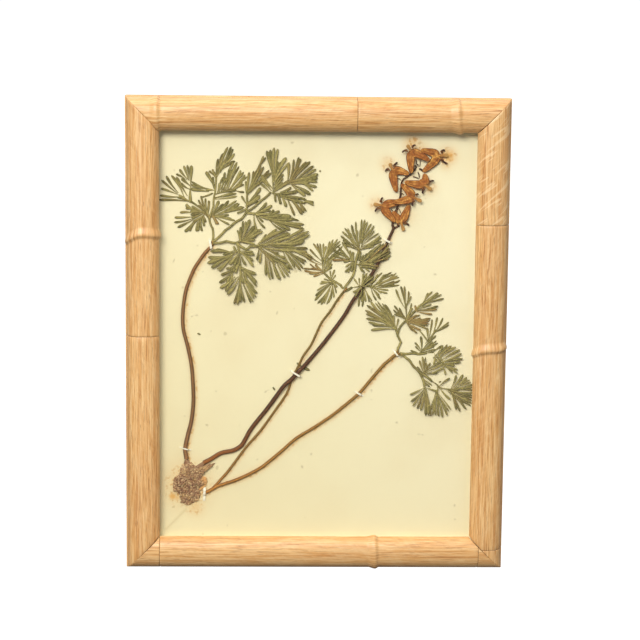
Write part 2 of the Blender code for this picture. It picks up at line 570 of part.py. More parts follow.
LEFT_LEAF_LOWER = [
    (212.8, 242.6, 227, 240.4, 2.2), (226, 240.4, 237.2, 242.6, 2.2), (236, 241.8, 239.2, 250.4, 2.2),
    (235.8, 242.6, 242.6, 239.8, 2.2), (236, 242, 248, 249.6, 2.4), (246, 249.4, 251, 245, 2),
    (249.4, 245.8, 260.4, 245.2, 2.4),
    (240.2, 240.6, 237.4, 229.7, 2), (240.8, 240.3, 240.6, 226.5, 2.2), (241.2, 240.8, 244.5, 220, 5),
    (241.6, 241, 250, 219, 4.5), (241.9, 241.2, 254.5, 225.5, 4.5), (242.3, 241.5, 258, 229, 4.5),
    (242.6, 241.3, 262.5, 229.5, 5), (242.8, 241, 257, 234.5, 3), (242.4, 240.9, 255, 239, 3),
    (241.8, 240.8, 254.8, 243.8, 2.4),
    (233.9, 252.6, 215.7, 248.8, 3), (233, 253.3, 210.6, 250.7, 4), (233, 254, 208.1, 256.8, 4.2),
    (232.4, 255, 207.4, 262.8, 4.2), (232.4, 255.1, 211.3, 267.3, 4.4), (232.4, 255.4, 217.6, 270.2, 5),
    (239.8, 249.2, 223.4, 257.4, 8), (236.4, 251.4, 233.6, 245.8, 2.4),
    (239.2, 250.2, 253.3, 251.4, 2.8), (239.4, 251, 254.6, 253.9, 3.2), (239.8, 251.3, 253.3, 260.3, 3.4),
    (239.9, 251.5, 253.3, 266, 3.6), (240, 252.2, 245.7, 264.7, 3.2), (238.8, 250, 248.6, 257.6, 4),
    (239.3, 249.7, 240, 265.4, 2.6), (240, 263.4, 240, 279.4, 2.6),
    (239.1, 251.3, 229.1, 264.1, 4), (239.4, 253.8, 234.2, 265.4, 4), (237.4, 264.7, 225.9, 268.3, 3),
    (236.7, 267.6, 220.8, 274.6, 3.6), (239.9, 258.6, 232.5, 271.9, 8), (233, 271.6, 219.2, 282.3, 3.6),
    (235.2, 276, 219.9, 287.7, 3.8), (238.6, 276, 225.3, 290.9, 3.8), (239.4, 276.8, 227.2, 294.1, 4),
    (233, 268.6, 228.1, 284.9, 6), (239.4, 265, 255.9, 273.7, 4.4), (239.6, 266.4, 256.5, 282, 4),
    (240.4, 269.4, 255.6, 287.1, 6), (246.9, 282.4, 256.9, 292.5, 3.2), (241.8, 276, 255.3, 297.9, 4.8),
    (240.9, 278, 252.1, 302.4, 4.8), (240.4, 279.9, 244.4, 301.7, 3), (240.2, 279.9, 240, 301.7, 3.4),
    (240.4, 278, 235.5, 304.6, 6), (239.6, 264, 243.4, 283, 9),
    (257.6, 243.6, 266.4, 233.6, 2.6), (258.4, 243.8, 278.3, 229.4, 6), (260.5, 244.9, 288.2, 230.1, 6.5),
    (263.3, 245.6, 291.7, 234.3, 6), (272.1, 244.7, 305.7, 229.4, 6.5), (276.3, 244.5, 309.9, 232.2, 6.5),
    (286.2, 244.3, 304.3, 239.9, 4), (287.6, 246.1, 302.2, 240.6, 6), (284.2, 247.7, 307.8, 249.7, 7),
    (286.3, 248, 312.7, 258.2, 5), (284.2, 248.4, 305.7, 262.4, 5.5), (283.2, 247.9, 302.2, 269.4, 5.5),
    (282.8, 249.2, 293.8, 268.7, 5), (256.7, 245.3, 296.2, 247.2, 9), (259, 246.7, 256.6, 259.6, 2.6),
    (261.5, 248, 259.4, 262.7, 3.4), (265, 252.4, 265.7, 275, 3), (267.3, 253.8, 271.3, 279.2, 5),
    (271.7, 255.2, 279.7, 279.2, 4.6), (274.9, 259.4, 284.6, 277.1, 2.6), (276.3, 260, 288.5, 275.7, 2.6),
    (276.5, 259.7, 289.6, 271.8, 3), (276, 258.3, 290.3, 268, 3.4), (275.3, 256.6, 288.2, 261.7, 3.4),
    (274.4, 254.2, 285.3, 257.5, 3.4), (271.1, 250.8, 278.6, 252.7, 3.2), (258.8, 246.9, 278.6, 260.9, 11),
]
MIDDLE_LEAF_LEFT = [
    (343.2, 288.4, 340, 283.9, 2.2), (340.9, 284.9, 333, 280.2, 2.2), (334, 280.9, 327.4, 276.4, 2.2),
    (328.4, 277.2, 323.4, 272, 2.2),
    (323, 273.6, 313.2, 276.1, 3.4), (322.9, 272.2, 308.9, 273.2, 3.4), (322.2, 271.5, 304, 270.4, 3.4),
    (321.5, 270.3, 303.3, 268.3, 3), (320.1, 270, 309.6, 263.4, 2.6), (320.9, 270, 315.3, 264.1, 2.4),
    (324.3, 272.2, 310, 270.1, 7), (323.2, 265, 306.1, 255.7, 5.5), (322.8, 262, 309.6, 248.7, 3.5),
    (322.8, 261, 313.2, 243.1, 3.4), (322.4, 260, 317, 243.1, 3), (322.4, 259.4, 319.8, 243.1, 2.8),
    (323, 260, 323.3, 243.1, 3), (323.3, 260, 326.1, 245.9, 4), (323.6, 260.8, 331.4, 241, 6),
    (323.9, 261, 334.9, 239.6, 6), (324, 262, 339.1, 239.2, 6), (324.1, 262.6, 341.9, 244.5, 5),
    (324.2, 263.4, 340.5, 250.1, 5), (324.4, 263.6, 339.1, 254.3, 4), (323.4, 272.3, 332.1, 263.4, 4),
    (323.8, 273.2, 332.1, 266.9, 3), (323.2, 271.8, 330.7, 259.9, 5), (323, 273.4, 325.1, 256.1, 9),
    (323.9, 261.6, 336, 248.2, 9),
    (330.8, 280.6, 330, 270.4, 2.6), (331, 280.2, 334.6, 269.4, 3.4), (331, 280.2, 335.6, 274.6, 2.6),
    (332, 280.5, 323.7, 278.4, 2.6), (332.4, 281.5, 319.5, 283.4, 3), (332.4, 281, 320.9, 281.3, 3),
    (332.7, 281.6, 316.7, 290.4, 2.6), (332.6, 282.2, 315.3, 295.7, 4.5), (332.3, 282.4, 314.6, 300.3, 4.5),
    (332.3, 282.6, 317.4, 303.4, 4), (332.3, 282.8, 320.9, 304.5, 4), (332.4, 282.8, 325.1, 304.1, 5),
    (332.7, 282.8, 328.2, 302.7, 3.6), (332.8, 282.6, 330.7, 299.2, 3), (332.6, 282.4, 334, 297.4, 3.4),
    (332.8, 282.2, 336.2, 293, 2.6), (333.2, 281.6, 337, 287, 2.2),
]
MIDDLE_LEAF_TOP = [
    (344, 288.4, 348.6, 281.8, 2.2), (347.8, 283, 352.9, 275.2, 2.2), (352.2, 276.6, 354.4, 269.4, 2.2),
    (354, 271.2, 355, 263.2, 2.2), (354.8, 265, 356.2, 257.6, 2.2), (355.8, 259.4, 359.4, 247.7, 2.4),
    (353.4, 263.2, 361.6, 263.8, 2.8), (356.8, 261.8, 349.2, 260, 2.8),
    (358.9, 250, 342.6, 239.6, 4), (358.9, 249.3, 340.5, 235.4, 4), (358.7, 248.6, 341.9, 231.1, 3.4),
    (358.7, 247.4, 344.4, 227.6, 3), (358.7, 246.4, 347.5, 228, 3), (358.8, 246.4, 351.4, 224.5, 4),
    (358.8, 244.3, 355.6, 221.3, 3), (359.1, 242.9, 361.6, 218.9, 3), (359.9, 242.9, 364.7, 219.2, 3),
    (360.4, 242.9, 367.2, 221.3, 3.4), (360.6, 241.1, 372.8, 223.8, 6), (361, 243.1, 373.5, 229, 5),
    (359.1, 250, 360.2, 229, 8), (358.9, 249.4, 350.4, 232.5, 8), (361.6, 245.9, 379.8, 233.6, 5),
    (361.6, 246.1, 381.2, 237.1, 3.4), (361.4, 247.3, 381.6, 241, 3.4), (359.6, 249.3, 375.6, 243.1, 4),
    (359, 249.2, 343.3, 242.4, 6), (358.8, 250, 373.5, 245.9, 4),
    (352.4, 260.4, 332.1, 259.9, 3.6), (352.4, 260.6, 343.3, 261.4, 4), (352.1, 260.1, 331.4, 254.3, 3.4),
    (352.1, 260, 333.5, 250.1, 4), (352, 260, 338.4, 246.6, 4), (352, 260, 341.9, 241.7, 4),
    (352.1, 260, 346.1, 248, 3), (352.2, 260, 349.7, 250.1, 2.4), (352.4, 260.2, 352.9, 251.5, 2.4),
    (352.8, 261.4, 339.1, 251.5, 5), (353.5, 261.6, 345.4, 266.9, 3.2), (353.5, 261.6, 344.7, 271.8, 3.6),
    (353, 261.6, 347.9, 272.5, 3), (353, 262, 351.1, 271.1, 2.4),
    (358.6, 260.1, 360.2, 250.9, 2.4), (359.2, 263.3, 363.7, 254.3, 3), (359.3, 263.6, 367.2, 252.9, 4),
    (359.5, 264, 373.5, 250.1, 6), (359.9, 264.4, 379.8, 246.6, 7), (359.9, 264.4, 388.2, 246.4, 7),
    (361.7, 264.2, 389.6, 249.2, 6), (363.2, 264, 390.4, 251.9, 4), (364.7, 263.8, 390.4, 255.4, 4.6),
    (366.8, 263.6, 387.5, 258.8, 4), (359.2, 263.5, 381.2, 254.6, 10), (359.2, 263.7, 374.2, 263.6, 3.4),
    (359.2, 263.8, 372.1, 268.3, 3), (358.9, 263.9, 369.3, 271.1, 3), (358.4, 263.9, 364.4, 272.5, 3),
    (357.8, 263.7, 361.6, 271.1, 2.6),
]
MIDDLE_LEAF_RIGHT = [
    (345.6, 290.9, 352.4, 286.9, 2.4), (351.2, 287.4, 362.6, 285.1, 2.6), (360.6, 285.2, 373, 286.1, 3.4),
    (361.2, 286, 363.7, 273.2, 2.6), (361.6, 286, 367.2, 272.5, 2.6), (359.4, 286.2, 353.9, 278.2, 3),
    (359.6, 286, 359.1, 277.5, 2.6), (363.4, 286, 373.5, 274.6, 5), (369.2, 287.2, 377.7, 273.9, 3.4),
    (370.2, 287.2, 383.3, 272.9, 5), (371.2, 287.2, 386.1, 273.9, 4), (372.2, 287.4, 392.8, 272.5, 5),
    (373.2, 287.8, 397.4, 273.9, 5.5), (373.6, 288, 400.2, 278.2, 6), (374, 287.6, 399.5, 283.1, 6),
    (374, 287.7, 388.2, 291.5, 6), (372.2, 287.2, 380.5, 294.3, 6), (371.6, 287.4, 380.5, 299.2, 3.6),
    (370.9, 287.6, 376.3, 300.3, 3.2), (369.8, 287.2, 394.6, 280.8, 9), (362.4, 284.9, 356, 292.2, 4.8),
    (361.9, 284.9, 360.2, 307, 7), (362.4, 284.9, 363.7, 302, 7), (363, 285.3, 370.7, 302, 5.4),
]
RIGHT_LEAF_TOP = [
    (397.4, 351.2, 397.7, 346.4, 2.2), (397.4, 348.6, 401, 340.6, 2.2), (400.9, 342.4, 397.2, 334.4, 2.2),
    (397.9, 336.2, 395.2, 327, 2.2), (397.2, 336.6, 400.4, 325.4, 2), (399.6, 326.8, 406.6, 319.4, 2),
    (404.8, 321, 417.4, 308, 2), (415.4, 309.8, 423.6, 302.6, 2),
    (395.6, 328.6, 370.7, 329.6, 4.6), (395.3, 327.3, 372, 324.6, 4.6), (395, 327, 368.2, 321.7, 4),
    (395, 326.8, 365.8, 318, 4.6), (394.8, 326.4, 365.8, 313.4, 4.6), (394.8, 326, 364.9, 309.7, 4.4),
    (394.8, 325.6, 366.6, 304.7, 4.4), (394.8, 325.2, 369.9, 300.6, 4.4), (394.6, 325, 375.7, 301, 5),
    (394.5, 324.8, 380.7, 303.1, 4.8), (394.3, 324.4, 384.4, 303.9, 4.2), (394.4, 325, 388.6, 312.6, 4.2),
    (394.6, 326.2, 393.1, 314.7, 4), (395.4, 328.1, 398.1, 318, 2.8), (396.8, 328.8, 374.9, 313, 11),
    (396, 329.4, 384.8, 314.7, 9),
    (405.4, 319.2, 393.1, 309.3, 3), (405.4, 318.6, 393.9, 305.1, 3.4), (405.6, 318.2, 398.9, 307.2, 3),
    (405, 319, 393.9, 313.8, 3), (406.6, 319.4, 397.6, 310.3, 5), (405.2, 308.4, 395.6, 288.6, 3.4),
    (405.4, 307.6, 400.6, 285.7, 3.6), (405.5, 306.9, 404.3, 285.7, 3), (405.6, 306.1, 408.5, 290.6, 3),
    (405.6, 307.4, 410.9, 295.6, 3), (406, 320.4, 405.1, 302.1, 2.8), (405.8, 320, 411.3, 302.7, 2.6),
    (406.2, 320, 412, 307.4, 2.2),
    (421.3, 305.7, 427.9, 292.3, 3), (421.1, 305.4, 432.1, 291, 2.8), (421, 305.4, 437.9, 292.3, 2.4),
    (421.3, 304.9, 441.2, 293.9, 2.6), (421.3, 304.4, 443.7, 298.1, 3.2), (415.2, 310, 431.3, 303.9, 3),
    (415.2, 310, 437.9, 305.6, 4), (415.2, 310.2, 437.1, 308.9, 3.6), (415, 310.3, 432.1, 313.8, 3.2),
    (416, 310.6, 414.7, 305, 2.2),
    (404.7, 320.8, 420.5, 315.9, 5), (406.5, 320.9, 430.4, 318, 4.6), (407.4, 321.7, 429.6, 322.1, 5),
    (406.7, 321.5, 427.9, 327.1, 6), (405.9, 321.6, 420.5, 329.6, 4), (406, 322.1, 417.2, 314.7, 2.4),
    (404.6, 320.6, 421.9, 322.1, 9), (405.2, 320.4, 413, 330.6, 3.2), (407.1, 321.2, 416.8, 332.9, 3.2),
    (412, 324, 427.4, 340.8, 2.6), (403.4, 320.4, 408.4, 321.6, 3),
]
RIGHT_LEAF_RIGHT = [
    (399.8, 352.9, 409, 353.6, 2.4), (407.6, 353.6, 418.5, 353.8, 2.4), (417, 353.9, 427, 352.6, 2.4),
    (425.6, 352.9, 434, 351.8, 2.8), (432.4, 352.4, 442.8, 345.1, 3.6),
    (428.3, 340.6, 432.1, 319.1, 3), (427.9, 340.6, 427.1, 327.5, 4), (433, 333.6, 437.1, 316.8, 3.4),
    (433.2, 333.9, 442.8, 317.6, 3.4), (433.6, 333, 448.9, 321.8, 2.8), (433.7, 332.6, 448.9, 324.5, 3),
    (425.1, 343.3, 435.9, 329.4, 3.4), (422, 351.6, 414.5, 342.1, 3.2), (421.4, 351.2, 420.6, 336, 4.4),
    (421.2, 351, 435.9, 335.2, 3.6), (421.4, 351.2, 437.4, 341.3, 4.7), (421.4, 351.8, 435.1, 347.4, 6),
    (422.2, 352.6, 415.2, 345.9, 2.8), (419.6, 352.6, 434, 342.4, 7), (421.4, 354.2, 410.3, 350.2, 3),
]
RIGHT_LEAF_LOWER = [
    (399.4, 354.4, 404.6, 355.2, 2.4), (403.2, 354.6, 409, 359.6, 2.4), (407.8, 358, 413.6, 366.6, 2.4),
    (412.4, 364.9, 420.4, 373.4, 2.4), (419.2, 372, 422.5, 378.8, 2.4), (421.9, 377.2, 424, 386, 2.4),
    (419.4, 371.8, 432, 380.7, 2.4), (430.6, 379.8, 439.2, 386.6, 2.6),
    (422.6, 373.2, 443.6, 362.7, 10), (433.8, 356, 442.8, 345.1, 3.8), (435.9, 356, 447, 344, 4),
    (437, 357.6, 451.2, 345.1, 4), (438.5, 359.1, 455.4, 346.3, 4), (440, 360.7, 459.6, 349, 4.2),
    (441.2, 361.6, 461.2, 352.8, 4.2), (441.3, 361.8, 462.3, 358.1, 4), (441.3, 362.7, 460.4, 361.2, 3.8),
    (441.3, 363.1, 454.3, 365, 4.6), (441.6, 363.4, 457.3, 368.9, 3), (441.6, 363.4, 457.3, 372.7, 3),
    (441.6, 363.8, 452, 371.9, 3), (441.6, 364, 445.1, 374.2, 3.2), (434.4, 352.6, 433.2, 364.2, 3.2),
    (443.8, 364.4, 435, 354, 9), (425.2, 373.2, 430.2, 362, 3), (422.9, 371.8, 437.4, 371.9, 3.4),
    (422.4, 372.4, 416.8, 365.8, 2.6), (423.2, 372.4, 419.1, 359.7, 3.4), (423.7, 372.4, 422.1, 355.9, 3.2),
    (424.2, 372.4, 425.2, 356.6, 2.6), (424.6, 372.4, 426, 362, 3), (420.8, 376, 430.6, 385.3, 5),
    (437.6, 387.4, 449.7, 377.3, 3.6), (450.4, 388.2, 455.8, 374.2, 3.6), (451.2, 388.2, 462.7, 373.8, 4.4),
    (453.8, 388, 466.5, 376.5, 4), (453.3, 388, 470.3, 380.3, 5), (453.3, 388.2, 473.4, 383.4, 3.4),
    (449.2, 389.3, 473, 388, 5), (449.2, 389.8, 473, 393.3, 5), (449.4, 390.2, 472.6, 398.7, 5),
    (449.6, 390.6, 471.9, 404.1, 5), (449.7, 391, 465.7, 408.6, 3.6), (450.4, 391, 459.6, 410.9, 3.6),
    (449.8, 390.4, 455.8, 409, 3.6), (438.6, 386.4, 449.7, 398.7, 4), (436.4, 386.2, 459.4, 390.4, 6),
    (447.7, 389.7, 468.6, 399.8, 9),
    (437.6, 393, 449.7, 410.2, 5), (437.4, 393, 447, 414.8, 3.6), (437.4, 393, 442, 416.7, 4),
    (437, 393, 438.2, 415.5, 3.6), (436.5, 392.3, 433.6, 414.8, 6), (436.2, 392, 431.3, 410.2, 5),
    (436.3, 389, 435.9, 407.1, 6), (424.4, 386.8, 409.5, 394.1, 3.6), (424, 388.4, 410.3, 401, 3.6),
    (423.6, 388.6, 412.2, 405.6, 3.2), (423.6, 389.6, 416.8, 407.9, 3.6), (423.6, 389, 420.2, 409.8, 4),
    (424.4, 387, 425.2, 414.8, 4.4), (425.4, 388.5, 428.3, 414.8, 4), (426, 388.8, 430.6, 415.5, 3.2),
    (423.4, 386.6, 436.5, 390.6, 3), (423.7, 385.2, 427.5, 407.1, 6), (438.6, 385.9, 435.6, 392.4, 3.6),
]

leaf("left_leaf_top", LEFT_LEAF_TOP, 0)
leaf("left_leaf_right", LEFT_LEAF_RIGHT, 1)
leaf("left_leaf_lower", LEFT_LEAF_LOWER, 2)
leaf("middle_leaf_left", MIDDLE_LEAF_LEFT, 0)
leaf("middle_leaf_top", MIDDLE_LEAF_TOP, 1)
leaf("middle_leaf_right", MIDDLE_LEAF_RIGHT, 0)
leaf("right_leaf_top", RIGHT_LEAF_TOP, 1)
leaf("right_leaf_right", RIGHT_LEAF_RIGHT, 0)
leaf("right_leaf_lower", RIGHT_LEAF_LOWER, 2)


# Leaf stalks and the flower stalk: low rounded rods along hand-placed routes, each point with its
# lift above the sheet, in the photograph's pixels and mm
LEFT_STALK = [
    (211.2, 246.5, 0.3), (205.5, 252, 0.3), (199, 261, 0.3), (194, 269, 0.3), (189.6, 279.4, 0.3),
    (186.4, 288.3, 0.3), (184.5, 298, 0.3), (183, 311, 0.3), (183.2, 327.7, 0.3), (187.8, 346.2, 0.3),
    (191.5, 364.7, 0.3), (193, 383, 0.3), (193.4, 401.7, 0.3), (191.5, 420, 0.3), (187.8, 435, 0.3),
    (185.4, 448, 0.3), (186.6, 458.4, 0.3),
]
MIDDLE_STALK = [
    (219.8, 480, 0.3), (227, 472, 0.3), (234.6, 462, 0.3), (246.1, 446.6, 0.3), (260.9, 429.5, 0.3),
    (275.7, 409, 0.3), (286.8, 392.5, 0.3), (292.3, 377.7, 0.3), (298.8, 364.7, 0.3), (303.5, 355, 0.3),
    (311.5, 343.5, 0.3), (321, 323, 0.3), (330, 311, 0.3), (337, 300, 0.3), (342.6, 292.4, 0.3),
]
RIGHT_STALK = [
    (202.6, 491.4, 0.3), (207.2, 491.2, 0.3), (217.4, 485.6, 0.3), (223.8, 483.4, 0.3), (236.5, 479.1, 0.3),
    (249.3, 473.4, 0.3), (260, 467.6, 0.3), (266.5, 462.8, 0.3), (281.2, 450.7, 0.3), (296, 437.8, 0.3),
    (312.7, 427.6, 0.3), (331, 415.5, 0.3), (346.2, 403.6, 0.3), (359.2, 392.5, 0.3), (370.3, 379.5, 0.3),
    (383.2, 364.7, 0.3), (395, 354.6, 0.3),
]
FLOWER_STALK = [
    (203.6, 462.2, 0.3), (211, 458.5, 0.3), (221, 452.5, 0.3), (233.3, 449.8, 0.3), (241, 445.3, 0.3),
    (244.8, 439.6, 0.3), (251.7, 427.6, 0.3), (266.5, 409, 0.3), (276, 396, 0.7), (284, 385, 1.5),
    (292, 377.9, 1.5), (300, 369.5, 1.5), (308, 361, 0.7), (322.2, 344.4, 0.3), (335.1, 327.7, 0.3),
    (344.4, 314.8, 0.5), (350.4, 304, 1.1), (355, 296.6, 1.6), (363, 284.5, 1.6), (370.7, 274.6, 1.6),
    (377, 264, 1.6), (381.2, 255.7, 1.6), (386.8, 242.4, 1.6), (388.8, 238, 0.9), (393.1, 228.5, 0.3),
    (392.4, 224.2, 0.3), (395, 215.3, 0.3), (397.5, 206.3, 0.3), (400.1, 197.4, 0.3), (400.7, 188.5, 0.3),
    (402.6, 180, 0.3), (410.9, 173.8, 0.3), (415.6, 167.5, 0.3),
]


def stalk(name, route, widths_px, height):
    """A rod of six-sided section along the route, its width running evenly between the given ones."""
    route = np.array(route, float)
    line = on_sheet(route[:, :2])
    heading = np.gradient(line, axis=0)
    heading /= np.linalg.norm(heading, axis=1)[:, None]
    side = np.column_stack([-heading[:, 1], heading[:, 0]])
    place = np.linspace(0, 1, len(route))
    half = np.interp(place, np.linspace(0, 1, len(widths_px)), widths_px) * MM_PER_PIXEL / 2
    rise = height * np.sqrt(half / half.max())
    section = ((-0.6, 0.0), (-1.0, 0.45), (-0.5, 1.0), (0.5, 1.0), (1.0, 0.45), (0.6, 0.0))
    rings = []
    for across, up in section:
        flat = line + side * (half * across)[:, None]
        rings.append(np.column_stack([flat[:, 0], -SHEET_FRONT - route[:, 2] - rise * up, flat[:, 1] + CENTRE_Z]))
    points = np.stack(rings, axis=1).reshape(-1, 3)
    count = len(section)
    faces = [(r * count + j, r * count + (j + 1) % count, (r + 1) * count + (j + 1) % count, (r + 1) * count + j)
             for r in range(len(route) - 1) for j in range(count)]
    faces += [tuple(range(count)), tuple(range((len(route) - 1) * count, len(route) * count))]
    return add_object(name, points, faces, STALK, smooth=True)


stalk("left_leaf_stalk", LEFT_STALK, (3.0, 3.2, 3.4, 3.6, 4.4), 1.3)
stalk("middle_leaf_stalk", MIDDLE_STALK, (2.6, 2.2, 2.0, 2.0), 0.8)
stalk("right_leaf_stalk", RIGHT_STALK, (3.2, 3.0, 2.6, 2.8), 1.2)
stalk("flower_stalk", FLOWER_STALK, (4.4, 4.2, 4.0, 3.6, 3.0, 2.2, 1.6), 1.2)

# The root cluster: a lumpy mass of small bulbs, pressed flat
ROOT_CENTRE = (191.0, 482.0)
ROOT_OUTLINE = [
    (184.9, 461.4), (191.3, 461.4), (195.7, 465), (203, 466.4), (209.4, 464.4), (215.4, 462.8), (205, 471.4),
    (202.6, 475.6),
    (207, 478.6), (206.6, 483.4), (199.5, 486.5), (200.4, 493.8), (197, 500.2), (188.7, 504.6), (181.7, 500.8),
    (179, 493.8), (173.4, 489.3), (172.8, 482.3), (175.3, 476), (179, 474), (181, 467),
]
ROOT_LEVELS = ((0.3, 0.93), (0.9, 1.0), (1.9, 0.86), (2.6, 0.58), (2.9, 0.25))


def root_cluster():
    """Rings that follow the outline and shrink as they rise, with a crown point on top."""
    outline = on_sheet(ROOT_OUTLINE)
    centre = on_sheet([ROOT_CENTRE])[0]
    count = len(outline)
    points = []
    for lift, reach in ROOT_LEVELS:
        ring = centre + (outline - centre) * reach
        points += [(x, -SHEET_FRONT - lift, z + CENTRE_Z) for x, z in ring]
    faces = [(r * count + j, r * count + (j + 1) % count, (r + 1) * count + (j + 1) % count, (r + 1) * count + j)
             for r in range(len(ROOT_LEVELS) - 1) for j in range(count)]
    for first, lift in ((0, ROOT_LEVELS[0][0]), ((len(ROOT_LEVELS) - 1) * count, ROOT_LEVELS[-1][0])):
        points.append((centre[0], -SHEET_FRONT - lift, centre[1] + CENTRE_Z))
        faces += [(first + j, first + (j + 1) % count, len(points) - 1) for j in range(count)]
    return add_object("root_cluster", points, faces, ROOT)


root_cluster()

# Dried flowers: two spurs from a small body, with a curled knob. Each is body, knob, the knob's two
# tips and the two spur ends, in the photograph's pixels, with a layer of its own above the axis
FLOWER_THICKNESS = 0.6
FLOWER_LIFTS = (1.2, 2.1, 3.0)
FLOWERS = {
    "flower_1": ((409.6, 149), (407.1, 145.1), (415.4, 144.5), (401.4, 152.1), (410.9, 173.2), (429.4, 160.4), 2),
    "flower_2": ((440.5, 155.2), (447.3, 155.3), (444.7, 149.6), (447.3, 163.6), (420.5, 149.6), (422.4, 171.9), 0),
    "flower_3": ((391.6, 168.1), (389.9, 163.6), (397.5, 162), (384.8, 171.3), (396.3, 192.3), (409, 173.8), 0),
    "flower_4": ((425.6, 185.6), (430.7, 189.1), (433.9, 180.2), (422.4, 193.6), (424.3, 173.2), (403.9, 181.5), 1),
    "flower_5": ((414.8, 197.6), (420.5, 200.6), (418.6, 193.6), (412.2, 205.7), (400.7, 183.4), (392.4, 202), 2),
    "flower_6": ((380.4, 204.8), (373.9, 203.8), (382.9, 196.8), (374.6, 211.4), (404.5, 201.2), (395, 221.6), 1),
    "flower_7": ((401.4, 223.6), (403.3, 229.9), (409, 225.5), (397, 226), (409, 203.8), (392.4, 210.8), 0),
}
SPUR_WIDTH = 7.8


def spur_polygons(body, end):
    """A spur swells from the body and narrows to a rounded end."""
    start, stop = np.array(body, float), np.array(end, float)
    along = stop - start
    side = np.array([-along[1], along[0]]) / np.linalg.norm(along) * SPUR_WIDTH / 2
    stations = ((-0.1, 0.6), (0.08, 1.0), (0.35, 1.05), (0.65, 0.85), (0.9, 0.6), (1.0, 0.35))
    left = [start + along * s + side * w for s, w in stations]
    right = [start + along * s - side * w for s, w in reversed(stations)]
    return [tuple(p) for p in on_sheet(left + right)]


def disc_polygon(centre, radius_px, corners=7):
    turn = np.linspace(0, 2 * np.pi, corners, endpoint=False)
    ring = np.array(centre) + radius_px * np.column_stack([np.cos(turn), np.sin(turn)])
    return [tuple(p) for p in on_sheet(ring)]


def flower(name, body, knob, tip_one, tip_two, end_one, end_two, layer):
    polygons = [spur_polygons(body, end_one), spur_polygons(body, end_two), disc_polygon(knob, 3.2),
                lobe_polygon((*knob, *tip_one, 3.4)), lobe_polygon((*knob, *tip_two, 3.4)),
                lobe_polygon((*body, *(2 * np.array(knob) - np.array(body)), 5.0))]
    points, faces = plate_mesh(union_outline(polygons), FLOWER_LIFTS[layer], FLOWER_THICKNESS)
    return add_object(name, points, faces, FLOWER)


for flower_name, places in FLOWERS.items():
    flower(flower_name, *places)

# Paper straps: narrow strips glued to the sheet that arch over a stalk. Each is its two ends, the
# crossing, the stalk's width there, in the photograph's pixels, then the stalk's top and its own width in mm
STRAP_THICKNESS = 0.25
STRAPS = {
    "strap_left_leaf": ((209.4, 238.4), (211.8, 250.4), (210.8, 244.9), 5.0, 2.0, 1.4),
    "strap_left_stalk": ((179.6, 446.6), (191.2, 449.6), (185.4, 448.1), 4.4, 1.6, 0.8),
    "strap_root": ((204.7, 486.6), (204.1, 500.2), (204.4, 491.4), 3.4, 1.5, 1.5),
    "strap_crossing": ((290.0, 369.6), (301.6, 376.6), (296.0, 373.2), 7.4, 2.8, 1.1),
    "strap_right_stalk": ((354.4, 390.6), (363.6, 395.8), (358.9, 393.1), 3.4, 1.5, 1.1),
    "strap_right_leaf": ((392.4, 348.8), (399.8, 358.0), (396.2, 353.5), 3.0, 1.9, 1.0),
    "strap_flower_stalk": ((383.2, 238.4), (392.2, 243.2), (387.7, 240.8), 3.4, 2.5, 1.2),
}


def strap(name, start, end, crossing, stalk_px, stalk_top, width):
    """A strip that lies flat at both ends and rises over the stalk on two short ramps."""
    first, last, over = on_sheet([start, end, crossing])
    way = (last - first) / np.linalg.norm(last - first)
    middle = float(np.dot(over - first, way))
    total = float(np.linalg.norm(last - first))
    half = stalk_px * MM_PER_PIXEL / 2
    foot, top = half + 1.1, half + 0.25
    places = [0.0, middle - foot, middle - top, middle + top, middle + foot, total]
    lifts = [0.3, 0.3, stalk_top + 0.3, stalk_top + 0.3, 0.3, 0.3]
    side = np.array([-way[1], way[0]]) * width / 2
    points = []
    for reach, lift in zip(places, lifts):
        for across, up in ((-1, 0.0), (1, 0.0), (1, STRAP_THICKNESS), (-1, STRAP_THICKNESS)):
            x, z = first + way * reach + side * across
            points.append((x, -SHEET_FRONT - lift - up, z + CENTRE_Z))
    faces = [(r * 4 + j, r * 4 + (j + 1) % 4, (r + 1) * 4 + (j + 1) % 4, (r + 1) * 4 + j)
             for r in range(len(places) - 1) for j in range(4)]
    faces += [(0, 1, 2, 3), (20, 21, 22, 23)]
    return add_object(name, points, faces, STRAP)


for strap_name, places in STRAPS.items():
    strap(strap_name, *places)
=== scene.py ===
"""The looks of a pressed woodland plant under glass in a bamboo-shaped oak frame.

Lengths are in millimetres and MM turns them into metres. X runs to the right, Z up, and the front
faces -Y. Places on the sheet are pixels of the photograph, carried onto it by on_sheet().
"""

import bmesh
import bpy
import numpy as np
from mathutils import Matrix, Vector


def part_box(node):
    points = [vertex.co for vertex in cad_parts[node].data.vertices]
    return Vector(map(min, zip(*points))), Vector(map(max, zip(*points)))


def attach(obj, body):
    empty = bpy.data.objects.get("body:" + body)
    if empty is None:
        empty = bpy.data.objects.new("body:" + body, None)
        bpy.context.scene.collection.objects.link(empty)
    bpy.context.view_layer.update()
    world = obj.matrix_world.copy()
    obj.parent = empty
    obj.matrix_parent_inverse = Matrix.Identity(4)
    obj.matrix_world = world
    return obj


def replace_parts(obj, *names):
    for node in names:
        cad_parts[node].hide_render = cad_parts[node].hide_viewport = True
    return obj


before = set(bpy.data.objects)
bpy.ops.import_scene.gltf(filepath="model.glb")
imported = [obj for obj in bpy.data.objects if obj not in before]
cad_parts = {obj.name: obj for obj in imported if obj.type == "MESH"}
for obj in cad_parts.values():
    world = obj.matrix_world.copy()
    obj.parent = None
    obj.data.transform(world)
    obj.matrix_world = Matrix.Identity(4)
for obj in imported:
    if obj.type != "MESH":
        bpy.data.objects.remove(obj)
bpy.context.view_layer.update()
MM = 0.001


